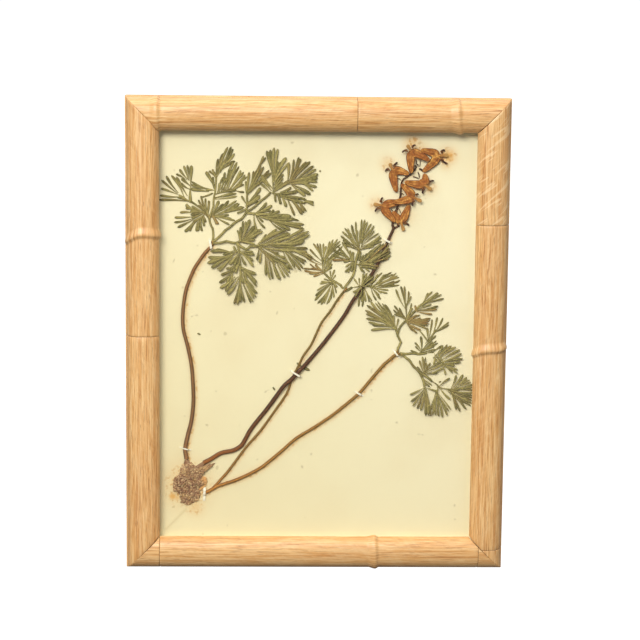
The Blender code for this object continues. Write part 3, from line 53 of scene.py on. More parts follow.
# Camera: the photograph was taken from a little above, left of the middle, with a long lens. Its
# eye and turns were fitted to the frame's corners, and everything on the sheet is placed with it.
sheet_low, sheet_high = (np.array(corner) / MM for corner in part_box("mounting_sheet"))
SHEET_Y = sheet_low[1]
CENTRE_Z = (sheet_low[2] + sheet_high[2]) / 2
IMAGE_PX = 640
MIDDLE_PX = IMAGE_PX / 2
PHOTO_FOCAL_PX = 2000.0
SENSOR_WIDTH = 36.0
FAR_CLIP = 50.0
EYE = np.array([-35.0, -1210.1, 190.6 + CENTRE_Z])
VIEW_PITCH = 8.54
VIEW_ROLL = 0.60
VIEW_YAW = 1.76


def view_turn():
    """Rotation from the object to the viewer: yaw about Z, then pitch about X, then roll about Y."""
    pitch, roll, yaw = np.radians([VIEW_PITCH, VIEW_ROLL, VIEW_YAW])
    about_x = np.array([[1, 0, 0], [0, np.cos(pitch), -np.sin(pitch)], [0, np.sin(pitch), np.cos(pitch)]])
    about_y = np.array([[np.cos(roll), 0, np.sin(roll)], [0, 1, 0], [-np.sin(roll), 0, np.cos(roll)]])
    about_z = np.array([[np.cos(yaw), -np.sin(yaw), 0], [np.sin(yaw), np.cos(yaw), 0], [0, 0, 1]])
    return about_y @ about_x @ about_z


VIEW = view_turn()


def on_sheet(pixels):
    """(x, z) in mm where the rays through these pixels meet the sheet's face."""
    offset = (np.atleast_2d(np.asarray(pixels, float)) - MIDDLE_PX) / PHOTO_FOCAL_PX
    rays = np.stack([offset[:, 0], np.ones(len(offset)), -offset[:, 1]], 1) @ VIEW
    reach = (SHEET_Y - EYE[1]) / rays[:, 1]
    return (EYE + rays * reach[:, None])[:, [0, 2]]


one_pixel = on_sheet([[MIDDLE_PX + 1, MIDDLE_PX]]) - on_sheet([[MIDDLE_PX, MIDDLE_PX]])
MM_PER_PIXEL = float(np.linalg.norm(one_pixel))

camera_data = bpy.data.cameras.new("camera")
camera_data.sensor_width = SENSOR_WIDTH
camera_data.lens = SENSOR_WIDTH * PHOTO_FOCAL_PX / IMAGE_PX
camera_data.clip_end = FAR_CLIP
camera = bpy.data.objects.new("camera", camera_data)
turn = Matrix([VIEW[0], VIEW[2], -VIEW[1]]).transposed().to_4x4()
camera.matrix_world = Matrix.Translation(Vector(EYE * MM)) @ turn
bpy.context.scene.collection.objects.link(camera)
bpy.context.scene.camera = camera


# Oak moulding: ten lengths of pale oak, planed to a half-round bamboo face on a flat back strip,
# with carved rings, mitred at the corners and butted along the sides. Satin varnish. Each length
# darkens at its cut ends as painted shade in the seams. One length at the upper right is
# quarter-sawn and shows its pale rays.
JOINT_GAP = 0.15
FRAME_WIDTH = 232.0
FRAME_HEIGHT = 290.0
RAIL_DEPTH = 17.5
RABBET_DEPTH = 11.2
RABBET_SHOULDER = 14.2
BACK_STRIP = [(7.0, 0.0), (0.5, 0.0), (0.15, 0.15), (0.0, 0.5), (0.0, 3.5), (0.0, 7.0),
              (0.15, 7.45), (0.55, 7.6)]
ROUND_CENTRE = 11.0
ROUND_FOOT = 7.9
ROUND_HALF_WIDTH = 10.0
ROUND_POWER = 2.4
ROUND_STEPS = 45
RING_HEIGHT = 1.15
RING_RISE = 5.0
RING_DROP = 2.6
RING_REACH = 7.5
GROOVE_DEPTH = 0.07
GROOVE_PLACE = 3.2
GROOVE_WIDTH = 1.3
PLAIN_ROWS = 36
RING_ROWS = 56
CORNER_PIECE = 8.0
END_CLEARANCE = 0.02
ARRIS = 0.35
ARRIS_DROP = 0.22
ARRIS_ROWS = (0.0, 0.12, 0.35)
# Reach in mm of the painted shade at the cut ends of each length, where the seams are
SEAM_SHADE_REACH = 0.3
FIGURE_STRETCH = (0.011, 0.16, 1.0)
STREAK_STRETCH = (0.02, 0.75, 1.0)
PORE_STRETCH = (0.09, 3.0, 1.0)
RAY_SLANT = 0.8
RAY_STRETCH = (0.42, 0.07)
FEW_RAYS = 0.15
FULL_RAYS = 1.0
COLOUR_MIX_INPUTS = (0, 6, 7)
COLOUR_MIX_RESULT = 2


def srgb(red, green, blue):
    """A linear colour from 8-bit display values, by the standard display curve."""
    shade = np.array([red, green, blue]) / 255
    linear = np.where(shade <= 0.04045, shade / 12.92, ((shade + 0.055) / 1.055) ** 2.4)
    return (*[float(v) for v in linear], 1.0)


class Nodes:
    """Adds shader nodes to a tree: node(type, inputs by name, settings by name)."""

    def __init__(self, tree):
        self.tree = tree

    def feed(self, socket, value):
        """Links the value to the socket where it is an output, and sets it otherwise."""
        if isinstance(value, bpy.types.NodeSocket):
            self.tree.links.new(value, socket)
        else:
            socket.default_value = value

    def node(self, kind, inputs=None, **settings):
        made = self.tree.nodes.new(kind)
        for name, value in settings.items():
            setattr(made, name, value)
        for name, value in (inputs or {}).items():
            self.feed(made.inputs[name], value)
        return made

    def place(self):
        """The object's own coordinates, in metres."""
        return self.node("ShaderNodeTexCoord").outputs["Object"]

    def attribute(self, name, output="Fac"):
        return self.node("ShaderNodeAttribute", attribute_name=name).outputs[output]

    def stretched(self, vector, scale):
        """The vector scaled axis by axis, so that a noise on it draws out into streaks."""
        return self.node("ShaderNodeMapping", {"Vector": vector, "Scale": scale}).outputs["Vector"]

    def noise(self, vector, scale, detail=3.0, roughness=0.5, distortion=0.0):
        """Fractal noise from 0 to 1, with this many cells for one unit of the vector."""
        settings = {"Scale": scale, "Detail": detail, "Roughness": roughness, "Distortion": distortion}
        return self.node("ShaderNodeTexNoise", {"Vector": vector, **settings}).outputs["Fac"]

    def math(self, operation, first, second, clamp=False):
        made = self.node("ShaderNodeMath", operation=operation, use_clamp=clamp)
        self.feed(made.inputs[0], first)
        self.feed(made.inputs[1], second)
        return made.outputs[0]

    def ramp(self, factor, stops):
        """A colour ramp from (position, colour) stops."""
        made = self.node("ShaderNodeValToRGB", {"Fac": factor})
        while len(made.color_ramp.elements) < len(stops):
            made.color_ramp.elements.new(0.5)
        for element, (position, colour) in zip(made.color_ramp.elements, stops):
            element.position = position
            element.color = colour
        return made.outputs["Color"]

    def mask(self, factor, start, stop, low, high):
        """A grey ramp: `low` up to start, `high` from stop on, and even between them."""
        return self.ramp(factor, [(start, (low, low, low, 1)), (stop, (high, high, high, 1))])

    def mix(self, factor, first, second):
        """The first colour, turned to the second by the factor."""
        made = self.node("ShaderNodeMix", data_type="RGBA")
        for slot, value in zip(COLOUR_MIX_INPUTS, (factor, first, second)):
            self.feed(made.inputs[slot], value)
        return made.outputs[COLOUR_MIX_RESULT]


def new_group(name, inputs, outputs):
    """A node group with named sockets. Returns (group, Nodes, its input node, its output node)."""
    group = bpy.data.node_groups.new(name, "ShaderNodeTree")
    for way, sockets in (("INPUT", inputs), ("OUTPUT", outputs)):
        for socket, kind in sockets.items():
            group.interface.new_socket(socket, in_out=way, socket_type="NodeSocket" + kind)
    nodes = Nodes(group)
    return group, nodes, nodes.node("NodeGroupInput"), nodes.node("NodeGroupOutput")


def new_material(name, roughness, **settings):
    """A Principled material. Returns (material, Nodes, shader)."""
    made = bpy.data.materials.new(name)
    made.use_nodes = True
    shader = made.node_tree.nodes["Principled BSDF"]
    shader.inputs["Roughness"].default_value = roughness
    for socket, value in settings.items():
        shader.inputs[socket.replace("_", " ")].default_value = value
    return made, Nodes(made.node_tree), shader


def bump(nodes, shader, height, strength, distance):
    """Feeds a bump of this height into the shader: strength from 0 to 1, distance in metres."""
    made = nodes.node("ShaderNodeBump", {"Height": height, "Strength": strength, "Distance": distance})
    nodes.feed(shader.inputs["Normal"], made.outputs["Normal"])


def oak_material():
    """Oak under varnish. The grain attribute holds (along, across, length's own offset) in mm.

    Noises drawn out along the length give the broad figure, its streaks, the pores and the rays.
    The edge attribute darkens each length at its cut ends as painted shade in the seams.
    """
    made, nodes, shader = new_material("oak", 0.46, Coat_Weight=0.12, Coat_Roughness=0.3)
    place = nodes.attribute("grain", "Vector")
    broad = nodes.noise(nodes.stretched(place, FIGURE_STRETCH), 1.0, 4.0, 0.55, 0.9)
    fine = nodes.noise(nodes.stretched(place, STREAK_STRETCH), 1.0, 5.0, 0.66, 2.0)
    pore = nodes.noise(nodes.stretched(place, PORE_STRETCH), 1.0, 2.0, 0.5, 1.2)
    base = nodes.ramp(broad, [(0.25, srgb(200, 136, 71)), (0.45, srgb(225, 166, 95)),
                              (0.6, srgb(234, 181, 109)), (0.78, srgb(214, 149, 82))])
    lines = nodes.ramp(fine, [(0.32, srgb(140, 84, 42)), (0.45, srgb(208, 150, 88)),
                              (0.60, srgb(241, 210, 157)), (0.75, srgb(217, 161, 98))])
    wood = nodes.mix(0.6, base, lines)
    dark = nodes.math("MULTIPLY", nodes.mask(pore, 0.34, 0.43, 1, 0), 0.62)
    wood = nodes.mix(dark, wood, srgb(141, 86, 41))
    parts = nodes.node("ShaderNodeSeparateXYZ", {"Vector": place}).outputs
    slant = nodes.math("ADD", parts["X"], nodes.math("MULTIPLY", parts["Y"], RAY_SLANT))
    rays = nodes.node("ShaderNodeCombineXYZ", {
        "X": nodes.math("MULTIPLY", slant, RAY_STRETCH[0]),
        "Y": nodes.math("MULTIPLY", parts["Y"], RAY_STRETCH[1]), "Z": parts["Z"]})
    ray_mask = nodes.mask(nodes.noise(rays.outputs["Vector"], 1.0, 2.0, 0.5, 0.6), 0.56, 0.61, 0, 1)
    fleck = nodes.math("MULTIPLY", ray_mask, nodes.attribute("fleck"))
    wood = nodes.mix(nodes.math("MULTIPLY", fleck, 0.42), wood, srgb(250, 222, 172))
    # Painted shade in the seams: each length darkens towards its cut ends.
    wood = nodes.mix(nodes.math("MULTIPLY", nodes.attribute("edge"), 0.3), wood, srgb(90, 54, 27))
    nodes.feed(shader.inputs["Base Color"], wood)
    bump(nodes, shader, nodes.math("ADD", fine, nodes.math("MULTIPLY", pore, 0.5)), 0.12, 0.0006)
    return made


OAK = oak_material()


def face_outwards(mesh):
    """Turns every face outwards, and all of them over where the enclosed volume is negative."""
    shape = bmesh.new()
    shape.from_mesh(mesh)
    bmesh.ops.recalc_face_normals(shape, faces=shape.faces)
    if shape.calc_volume(signed=True) < 0:
        bmesh.ops.reverse_faces(shape, faces=shape.faces)
    shape.to_mesh(mesh)
    shape.free()


def tubes(name, grid, finish, attributes, sharp):
    """Closed tubes from a grid (tubes, rows, around, xyz) in mm, with a face on each end.

    Attributes are arrays (tubes, rows, around), or the same with three more values for a vector.
    Edges steeper than `sharp` degrees stay crisp.
    """
    count, rows, around, _ = grid.shape
    index = np.arange(count * rows * around).reshape(count, rows, around)
    near, far = index[:, :-1], index[:, 1:]
    quads = np.stack([near, np.roll(near, -1, 2), np.roll(far, -1, 2), far], -1).reshape(-1, 4)
    ends = index[:, [0, -1]].reshape(-1, around)
    mesh = bpy.data.meshes.new(name)
    mesh.from_pydata(grid.reshape(-1, 3) * MM, [], quads.tolist() + ends.tolist())
    for key, values in attributes.items():
        kind, slot = ("FLOAT_VECTOR", "vector") if values.ndim == 4 else ("FLOAT", "value")
        mesh.attributes.new(key, kind, "POINT").data.foreach_set(slot, values.ravel().astype(np.float32))
    face_outwards(mesh)
    mesh.materials.append(finish)
    mesh.shade_smooth()
    mesh.set_sharp_from_angle(angle=np.radians(sharp))
    made = bpy.data.objects.new(name, mesh)
    bpy.context.scene.collection.objects.link(made)
    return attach(made, "root")


def section_points():
    """(across, forward) round the moulding: the superellipse face, the rabbet and the back strip."""
    rise = RAIL_DEPTH - ROUND_FOOT
    lip = np.arcsin(((RABBET_DEPTH - ROUND_FOOT) / rise) ** (ROUND_POWER / 2))
    angle = np.linspace(np.pi, lip, ROUND_STEPS)
    across = np.sign(np.cos(angle)) * np.abs(np.cos(angle)) ** (2 / ROUND_POWER)
    forward = np.abs(np.sin(angle)) ** (2 / ROUND_POWER)
    face = np.column_stack([ROUND_CENTRE + ROUND_HALF_WIDTH * across, ROUND_FOOT + rise * forward])
    strip = [(RABBET_SHOULDER, RABBET_DEPTH), (RABBET_SHOULDER, 0.0)] + BACK_STRIP
    return np.concatenate([face, strip]), len(face)


def ring_height(offset):
    """A ring along the rail: a long cosine rise, a crest at 0, a steep drop and a shallow groove."""
    rise = 0.5 * (1 + np.cos(np.pi * np.clip(-offset / RING_RISE, 0, 1)))
    drop = 0.5 * (1 + np.cos(np.pi * np.clip(offset / RING_DROP, 0, 1)))
    groove = -GROOVE_DEPTH * np.exp(-(((offset - GROOVE_PLACE) / GROOVE_WIDTH) ** 2))
    return RING_HEIGHT * np.where(offset < 0, rise, drop) + groove


TO_FRAME = {
    "top": lambda s, u: (s, FRAME_HEIGHT / 2 - u),
    "bottom": lambda s, u: (s, u - FRAME_HEIGHT / 2),
    "left": lambda s, u: (u - FRAME_WIDTH / 2, s),
    "right": lambda s, u: (FRAME_WIDTH / 2 - u, s),
}


def rows_along(start, stop, slants):
    """Places along the rail for each point of the section: dense at rings, with fine rows at the ends."""
    marks = [start] + [crest + k * RING_REACH + slant for crest, _, slant in slants for k in (-1, 1)] + [stop]
    counts = [PLAIN_ROWS if k % 2 == 0 else RING_ROWS for k in range(len(marks) - 1)]
    pieces = [a + (b - a) * np.linspace(0, 1, n, endpoint=False)[:, None]
              for a, b, n in zip(marks[:-1], marks[1:], counts)]
    inner = np.concatenate(pieces)[1:]
    near_ends = np.minimum(np.array(ARRIS_ROWS)[:, None], np.maximum(stop - start, 0.0) * 0.3)
    return np.concatenate([start + near_ends, inner, stop - near_ends[::-1]])


def rail(name, side, low_seam=None, high_seam=None, rings=(), shift=0.0, flecks=FEW_RAYS):
    """One length of moulding: the section runs from mitre or seam to mitre or seam, swelling at rings.

    A ring is (crest, side that drops, slant at the outer edge, slant at the sight edge).
    """
    section, face_count = section_points()
    half = (FRAME_WIDTH if side in ("top", "bottom") else FRAME_HEIGHT) / 2
    inset = JOINT_GAP / np.sqrt(2)
    low_cut = -np.inf if low_seam is None else low_seam + JOINT_GAP / 2
    high_cut = np.inf if high_seam is None else high_seam - JOINT_GAP / 2
    if high_seam is not None and high_seam < -half + RABBET_SHOULDER + CORNER_PIECE:
        section[:, 0] = np.minimum(section[:, 0], high_cut + half - inset - END_CLEARANCE)
    if low_seam is not None and low_seam > half - RABBET_SHOULDER - CORNER_PIECE:
        section[:, 0] = np.minimum(section[:, 0], half - inset - low_cut - END_CLEARANCE)
    across = section[:, 0]
    start = np.maximum(-half + across + inset, low_cut)
    stop = np.minimum(half - across - inset, high_cut)
    lean = (across - ROUND_CENTRE) / ROUND_HALF_WIDTH
    on_face = np.arange(len(section)) < face_count
    slants = [(crest, drop, np.where(lean < 0, outer, inner) * lean**2 * on_face)
              for crest, drop, outer, inner in sorted(rings)]
    along = rows_along(start, stop, slants)
    swell = np.zeros_like(along)
    for crest, drop, slant in slants:
        swell += ring_height(drop * (along - crest - slant))
    from_end = np.minimum(along - start, stop - along)
    ease = -ARRIS_DROP * np.clip(1 - from_end / ARRIS, 0, 1) ** 2
    outward = section - (ROUND_CENTRE, ROUND_FOOT)
    outward /= np.linalg.norm(outward, axis=1)[:, None]
    shape = section + (swell * on_face + ease)[:, :, None] * outward
    x, z = TO_FRAME[side](along, shape[:, :, 0])
    grid = np.stack([x, -shape[:, :, 1], z + CENTRE_Z], -1)[None]
    girth = np.concatenate([[0], np.cumsum(np.linalg.norm(np.diff(section, axis=0), axis=1))])
    grain = np.stack([along, np.broadcast_to(girth, along.shape), np.full(along.shape, shift)], -1)[None]
    # Painted shade in the seams, strongest at the cut ends of the length.
    edge = np.clip(1 - from_end / SEAM_SHADE_REACH, 0, 1)[None] ** 2
    values = {"grain": grain, "fleck": np.full(along.shape, flecks)[None], "edge": edge}
    made = tubes("oak_" + name, grid, OAK, values, 40.0)
    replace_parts(made, name)


LEFT_SEAM = 0.3
TOP_SEAM = 23.0
RIGHT_SEAM = 69.1
RIGHT_FOOT_SEAM = -131.7
BOTTOM_LEFT_SEAM = -95.3
BOTTOM_RIGHT_SEAM = 100.7
rail("rail_left_upper", "left", LEFT_SEAM, None, [(62.2, -1, -5.0, -1.2)], 11.0)
rail("rail_left_lower", "left", None, LEFT_SEAM, [], 23.0)
rail("rail_top_left", "top", None, TOP_SEAM, [(-96.9, 1, 0.0, 0.5)], 37.0)
rail("rail_top_right", "top", TOP_SEAM, None, [(83.2, 1, -0.6, 2.0)], 41.0)
rail("rail_right_upper", "right", RIGHT_SEAM, None, [], 59.0, FULL_RAYS)
rail("rail_right_lower", "right", RIGHT_FOOT_SEAM, RIGHT_SEAM, [(-7.0, -1, 1.0, -3.5)], 67.0)
rail("rail_right_foot", "right", None, RIGHT_FOOT_SEAM, [], 71.0)
rail("rail_bottom_left", "bottom", None, BOTTOM_LEFT_SEAM, [], 83.0)
rail("rail_bottom", "bottom", BOTTOM_LEFT_SEAM, BOTTOM_RIGHT_SEAM, [(37.0, 1, 0.5, -0.5)], 97.0)
rail("rail_bottom_right", "bottom", BOTTOM_RIGHT_SEAM, None, [], 103.0)


# Glass pane: 2 mm float glass, clear, in the rabbet in front of the plant. It is the CAD solid,
# and it lets shadow and diffuse rays straight through, as clear glass barely dims what is behind it.
def finish_solid(node, material):
    """Gives a CAD solid that stays in view its finish."""
    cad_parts[node].material_slots[0].material = material


def glass_material():
    """Clear glass, a little rough where it was wiped."""
    made, nodes, shader = new_material("clear_glass", 0.02, Transmission_Weight=1.0, IOR=1.45,
                                       Specular_IOR_Level=0.3, Base_Color=(0.99, 0.995, 0.985, 1.0))
    smear = nodes.noise(nodes.place(), 18.0, 2.0)
    nodes.feed(shader.inputs["Roughness"], nodes.math("MULTIPLY", smear, 0.02))
    ray = nodes.node("ShaderNodeLightPath").outputs
    passed = nodes.math("MAXIMUM", ray["Is Shadow Ray"], ray["Is Diffuse Ray"])
    nodes.feed(shader.inputs["Alpha"], nodes.math("SUBTRACT", 1.0, passed))
    return made


finish_solid("glass_pane", glass_material())


# Routes of the stalks on the sheet, by pixel, with their lift in mm: they run from the root to each
# leaf's fork and up to the flowers, and the flower stalk passes over the stalk that it crosses.
REST_LIFT = 0.3


def resting(route):
    """The route with the lift of a stalk that lies on the sheet."""
    return [(x, y, REST_LIFT) for x, y in route]


LEFT_STALK = resting([
    (211.2, 246.5), (205.5, 252), (199, 261), (194, 269), (189.6, 279.4), (186.4, 288.3), (184.5, 298),
    (183, 311), (183.2, 327.7), (187.8, 346.2), (191.5, 364.7), (193, 383), (193.4, 401.7), (191.5, 420),
    (187.8, 435), (185.4, 448), (186.6, 458.4),
])
MIDDLE_STALK = resting([
    (219.8, 480), (227, 472), (234.6, 462), (246.1, 446.6), (260.9, 429.5), (275.7, 409), (286.8, 392.5),
    (292.3, 377.7), (298.8, 364.7), (303.5, 355), (311.5, 343.5), (321, 323), (330, 311), (337, 300),
    (342.6, 292.4),
])
RIGHT_STALK = resting([
    (202.6, 491.4), (207.2, 491.2), (217.4, 485.6), (223.8, 483.4), (236.5, 479.1), (249.3, 473.4),
    (260, 467.6), (266.5, 462.8), (281.2, 450.7), (296, 437.8), (312.7, 427.6), (331, 415.5),
    (346.2, 403.6), (359.2, 392.5), (370.3, 379.5), (383.2, 364.7), (395, 354.6),
])
FLOWER_STALK = [
    (203.6, 462.2, 0.3), (211, 458.5, 0.3), (221, 452.5, 0.3), (233.3, 449.8, 0.3), (241, 445.3, 0.3),
    (244.8, 439.6, 0.3), (251.7, 427.6, 0.3), (266.5, 409, 0.3), (276, 396, 0.7), (284, 385, 1.5),
    (292, 377.9, 1.5), (300, 369.5, 1.5), (308, 361, 0.7), (322.2, 344.4, 0.3), (335.1, 327.7, 0.3),
    (344.4, 314.8, 0.5), (350.4, 304, 1.1), (355, 296.6, 1.6), (363, 284.5, 1.6), (370.7, 274.6, 1.6),
    (377, 264, 1.6), (381.2, 255.7, 1.6), (386.8, 242.4, 1.6), (388.8, 238, 0.9), (393.1, 228.5, 0.3),
    (392.4, 224.2, 0.3), (395, 215.3, 0.3), (397.5, 206.3, 0.3), (400.1, 197.4, 0.3), (400.7, 188.5, 0.3),
    (402.6, 180, 0.3), (410.9, 173.8, 0.3), (415.6, 167.5, 0.3),
]


# Mounting sheet: cream rag paper, yellowed towards the lower left, stained orange where the plant
# touches it, with a crease by the root that is darkened along its fold by painted shade. It lies flat
# behind the glass.
PAPER_STEP = 1.0
STAIN_SHIFT = (0.8, -0.5)
STALK_STAINS = [(LEFT_STALK, 1.9, 0.5), (RIGHT_STALK, 1.9, 0.5), (MIDDLE_STALK, 1.5, 0.35),
                (FLOWER_STALK, 1.9, 0.25)]
STAIN_SPOTS = [
    ((187, 484), 13.5, 0.5), ((172.8, 496), 2.4, 0.95), ((177, 497.6), 1.8, 0.7), ((195, 506), 6.0, 0.4),
    ((412, 143), 5.0, 0.5), ((448, 156), 4.6, 0.8), ((446, 164), 3.6, 0.4), ((388, 164), 4.6, 0.4),
    ((376, 204), 4.5, 0.35), ((420, 150), 5.0, 0.4), ((404, 215), 6.0, 0.25), ((430, 188), 4.5, 0.3),
]
CREASE = [(186, 509), (166, 529)]
CREASE_WIDTH = 0.8
AGE_ACROSS = 260.0
AGE_UP = 300.0


def distance_to(places, line):
    """Shortest distance from each place to a chain of straight runs, as one array operation."""
    start, run = line[:-1], np.diff(line, axis=0)
    offset = places[:, None] - start
    share = np.clip((offset * run).sum(2) / np.maximum((run**2).sum(1), 1e-9), 0, 1)
    return np.linalg.norm(offset - share[:, :, None] * run, axis=2).min(1)


def bell(distance, reach):
    """e to the minus square of distance over reach: 1 at no distance, near 0 past twice the reach."""
    return np.exp(-((distance / reach) ** 2))


FIBRE, fibre_nodes, fibre_given, fibre_made = new_group(
    "pressed_fibre", {"Vector": "Vector", "Cloud Scale": "Float", "Fibre Scale": "Float"},
    {"Cloud": "Float", "Fibre": "Float"})
for fibre_output, fibre_scale in (("Cloud", "Cloud Scale"), ("Fibre", "Fibre Scale")):
    clouds = fibre_nodes.noise(fibre_given.outputs["Vector"], fibre_given.outputs[fibre_scale], 3.0, 0.6)
    fibre_nodes.feed(fibre_made.inputs[fibre_output], clouds)


def pressed_fibre(nodes, place, cloud_scale, fibre_scale):
    """Two masks of pressed fibre: (broad soft clouds, fine fibres), by their scales per metre."""
    values = {"Vector": place, "Cloud Scale": cloud_scale, "Fibre Scale": fibre_scale}
    made = nodes.node("ShaderNodeGroup", values, node_tree=FIBRE)
    return made.outputs["Cloud"], made.outputs["Fibre"]


def paper_material():
    """Rag paper: cream going yellow with age, clouded, fibrous and specked, with dotted stains, and
    painted shade along the fold by the root.
    """
    made, nodes, shader = new_material("aged_paper", 0.92, Specular_IOR_Level=0.2)
    place = nodes.place()
    cloud, fibre = pressed_fibre(nodes, place, 14.0, 520.0)
    stain, crease_and_shade = nodes.attribute("stain"), nodes.attribute("crease_and_shade")
    colour = nodes.ramp(nodes.attribute("age"), [(0.0, srgb(250, 240, 200)), (1.0, srgb(241, 228, 181))])
    colour = nodes.mix(nodes.mask(cloud, 0.45, 0.75, 0, 0.5), colour, srgb(234, 216, 168))
    colour = nodes.mix(nodes.math("MULTIPLY", fibre, 0.16), colour, srgb(212, 192, 146))
    speck = nodes.noise(place, 190.0, 1.0, 0.4)
    colour = nodes.mix(nodes.mask(speck, 0.745, 0.77, 0, 0.35), colour, srgb(170, 150, 96))
    grains = nodes.math("MULTIPLY", nodes.noise(place, 700.0, 2.0, 0.7), 1.5)
    stained = nodes.math("MULTIPLY", stain, nodes.math("ADD", grains, 0.5), clamp=True)
    colour = nodes.mix(stained, colour, srgb(228, 176, 98))
    dots = nodes.mask(nodes.noise(place, 420.0, 2.0, 0.5), 0.56, 0.62, 0, 1)
    reached = nodes.mask(stain, 0.1, 0.35, 0, 0.7)
    colour = nodes.mix(nodes.math("MULTIPLY", dots, reached), colour, srgb(206, 146, 66))
    # Painted shade of the fold: the paper darkens along the crease.
    colour = nodes.mix(nodes.math("MULTIPLY", crease_and_shade, 0.4), colour, srgb(206, 184, 128))
    nodes.feed(shader.inputs["Base Color"], colour)
    bump(nodes, shader, nodes.math("ADD", fibre, crease_and_shade), 0.12, 0.0003)
    return made


span = sheet_high - sheet_low
columns = np.linspace(sheet_low[0], sheet_high[0], int(span[0] / PAPER_STEP) + 1)
lines = np.linspace(sheet_low[2], sheet_high[2], int(span[2] / PAPER_STEP) + 1)
paper_x = np.broadcast_to(np.concatenate([columns, columns[[-1, 0]]]), (len(lines), len(columns) + 2))
paper_z = np.broadcast_to(lines[:, None], paper_x.shape)
paper_y = np.full(paper_x.shape, SHEET_Y)
paper_y[:, -2:] = sheet_high[1]
places = np.stack([paper_x.ravel(), paper_z.ravel()], 1)
stain = np.zeros(len(places))
for route, reach, strength in STALK_STAINS:
    line = on_sheet(np.array(route)[:, :2]) + STAIN_SHIFT
    stain = np.maximum(stain, strength * bell(distance_to(places, line), reach))
for centre, reach, strength in STAIN_SPOTS:
    gap = np.linalg.norm(places - on_sheet([centre]), axis=1)
    stain = np.maximum(stain, strength * bell(gap, reach))
# The crease line: it drives the fold's bump and the painted shade along it.
crease_and_shade = bell(distance_to(places, on_sheet(CREASE)), CREASE_WIDTH)
age = (0.5 - (paper_x - paper_x.mean()) / AGE_ACROSS - (paper_z - paper_z.mean()) / AGE_UP).ravel()
marks = {"stain": stain, "crease_and_shade": crease_and_shade, "age": np.clip(age, 0, 1)}
sheet = tubes("paper_sheet", np.stack([paper_x, paper_y, paper_z], -1)[None], paper_material(),
              {key: values.reshape(1, *paper_x.shape) for key, values in marks.items()}, 40.0)
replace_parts(sheet, "mounting_sheet")


# Backing board, spacers and steel: brown board held by four glazier's points, cream card strips
# behind the lip, and a toothed hanger nailed to the top rail. They keep their CAD solids.
FIBRE_PER_CLOUD = 22


def board_material(name, low, high, scale):
    """Pressed fibre: two tones clouded by noise, with a fine fibrous bump."""
    made, nodes, shader = new_material(name, 0.88, Specular_IOR_Level=0.25)
    tone, fuzz = pressed_fibre(nodes, nodes.place(), scale, scale * FIBRE_PER_CLOUD)
    blend = nodes.math("ADD", nodes.math("MULTIPLY", fuzz, 0.7), nodes.math("MULTIPLY", tone, 0.3))
    nodes.feed(shader.inputs["Base Color"], nodes.ramp(blend, [(0.38, low), (0.62, high)]))
    bump(nodes, shader, fuzz, 0.25, 0.0003)
    return made


def steel_material():
    """Drawn steel: fine lines along the hanger, in brightness and in a slight bump."""
    made, nodes, shader = new_material("hanger_steel", 0.38, Metallic=1.0)
    brushed = nodes.noise(nodes.stretched(nodes.place(), (60.0, 900.0, 900.0)), 1.0, 3.0, 0.6)
    colour = nodes.ramp(brushed, [(0.3, srgb(168, 164, 152)), (0.7, srgb(206, 202, 190))])
    nodes.feed(shader.inputs["Base Color"], colour)
    bump(nodes, shader, brushed, 0.1, 0.0002)
    return made


finish_solid("backing_board", board_material("backing_board", srgb(112, 80, 52), srgb(156, 118, 80), 40.0))
CARD = board_material("spacer_card", srgb(226, 216, 188), srgb(240, 232, 206), 60.0)
STEEL = steel_material()
for side in ("left", "right", "top", "bottom"):
    finish_solid("glass_spacer_" + side, CARD)
    finish_solid("glazier_point_" + side, STEEL)
for node in ("hanger", "hanger_nail_left", "hanger_nail_right"):
    finish_solid(node, STEEL)


# Leaves: thrice-divided, pressed flat, dried to a grey olive with darker rims and paler veins. Each
# lobe is one thin blade, or a few side by side, and the blades of a branch lie in one layer. The
# middle leaf has a few more that drape over the flower stalk.
LEAF_THICKNESS = 0.2
LEAF_LIFTS = (0.32, 0.97, 1.62)
OVER_LIFT = 1.3
OVER_CLIMB = 1.75
CLIMB_REACH = 2.2
STALK_PX = 2.4
FULL_BLADES = 0.84
SLIM_BLADES = 0.6
FINGER_PX = 3.1
FINGER_WIDTHS = (0.95, 2.3)
TIP_SPREAD = 1.1
FOOT_SPREAD = 0.3
SIDE_SHORTER = 0.35
BLADE_ROWS = 15
BLADE_FOOT = 0.28
LOBE_SHOULDER = 0.86
ROUND_END = 1.004
STALK_END = 0.96
BOW = 0.06
ACROSS = np.array([-1.0, -0.66, -0.22, 0.0, 0.22, 0.66, 1.0, 0.5, 0.0, -0.5])
FRONT = np.array([0.25, 0.85, 0.95, 1.0, 0.95, 0.85, 0.25, 0.0, 0.0, 0.0])
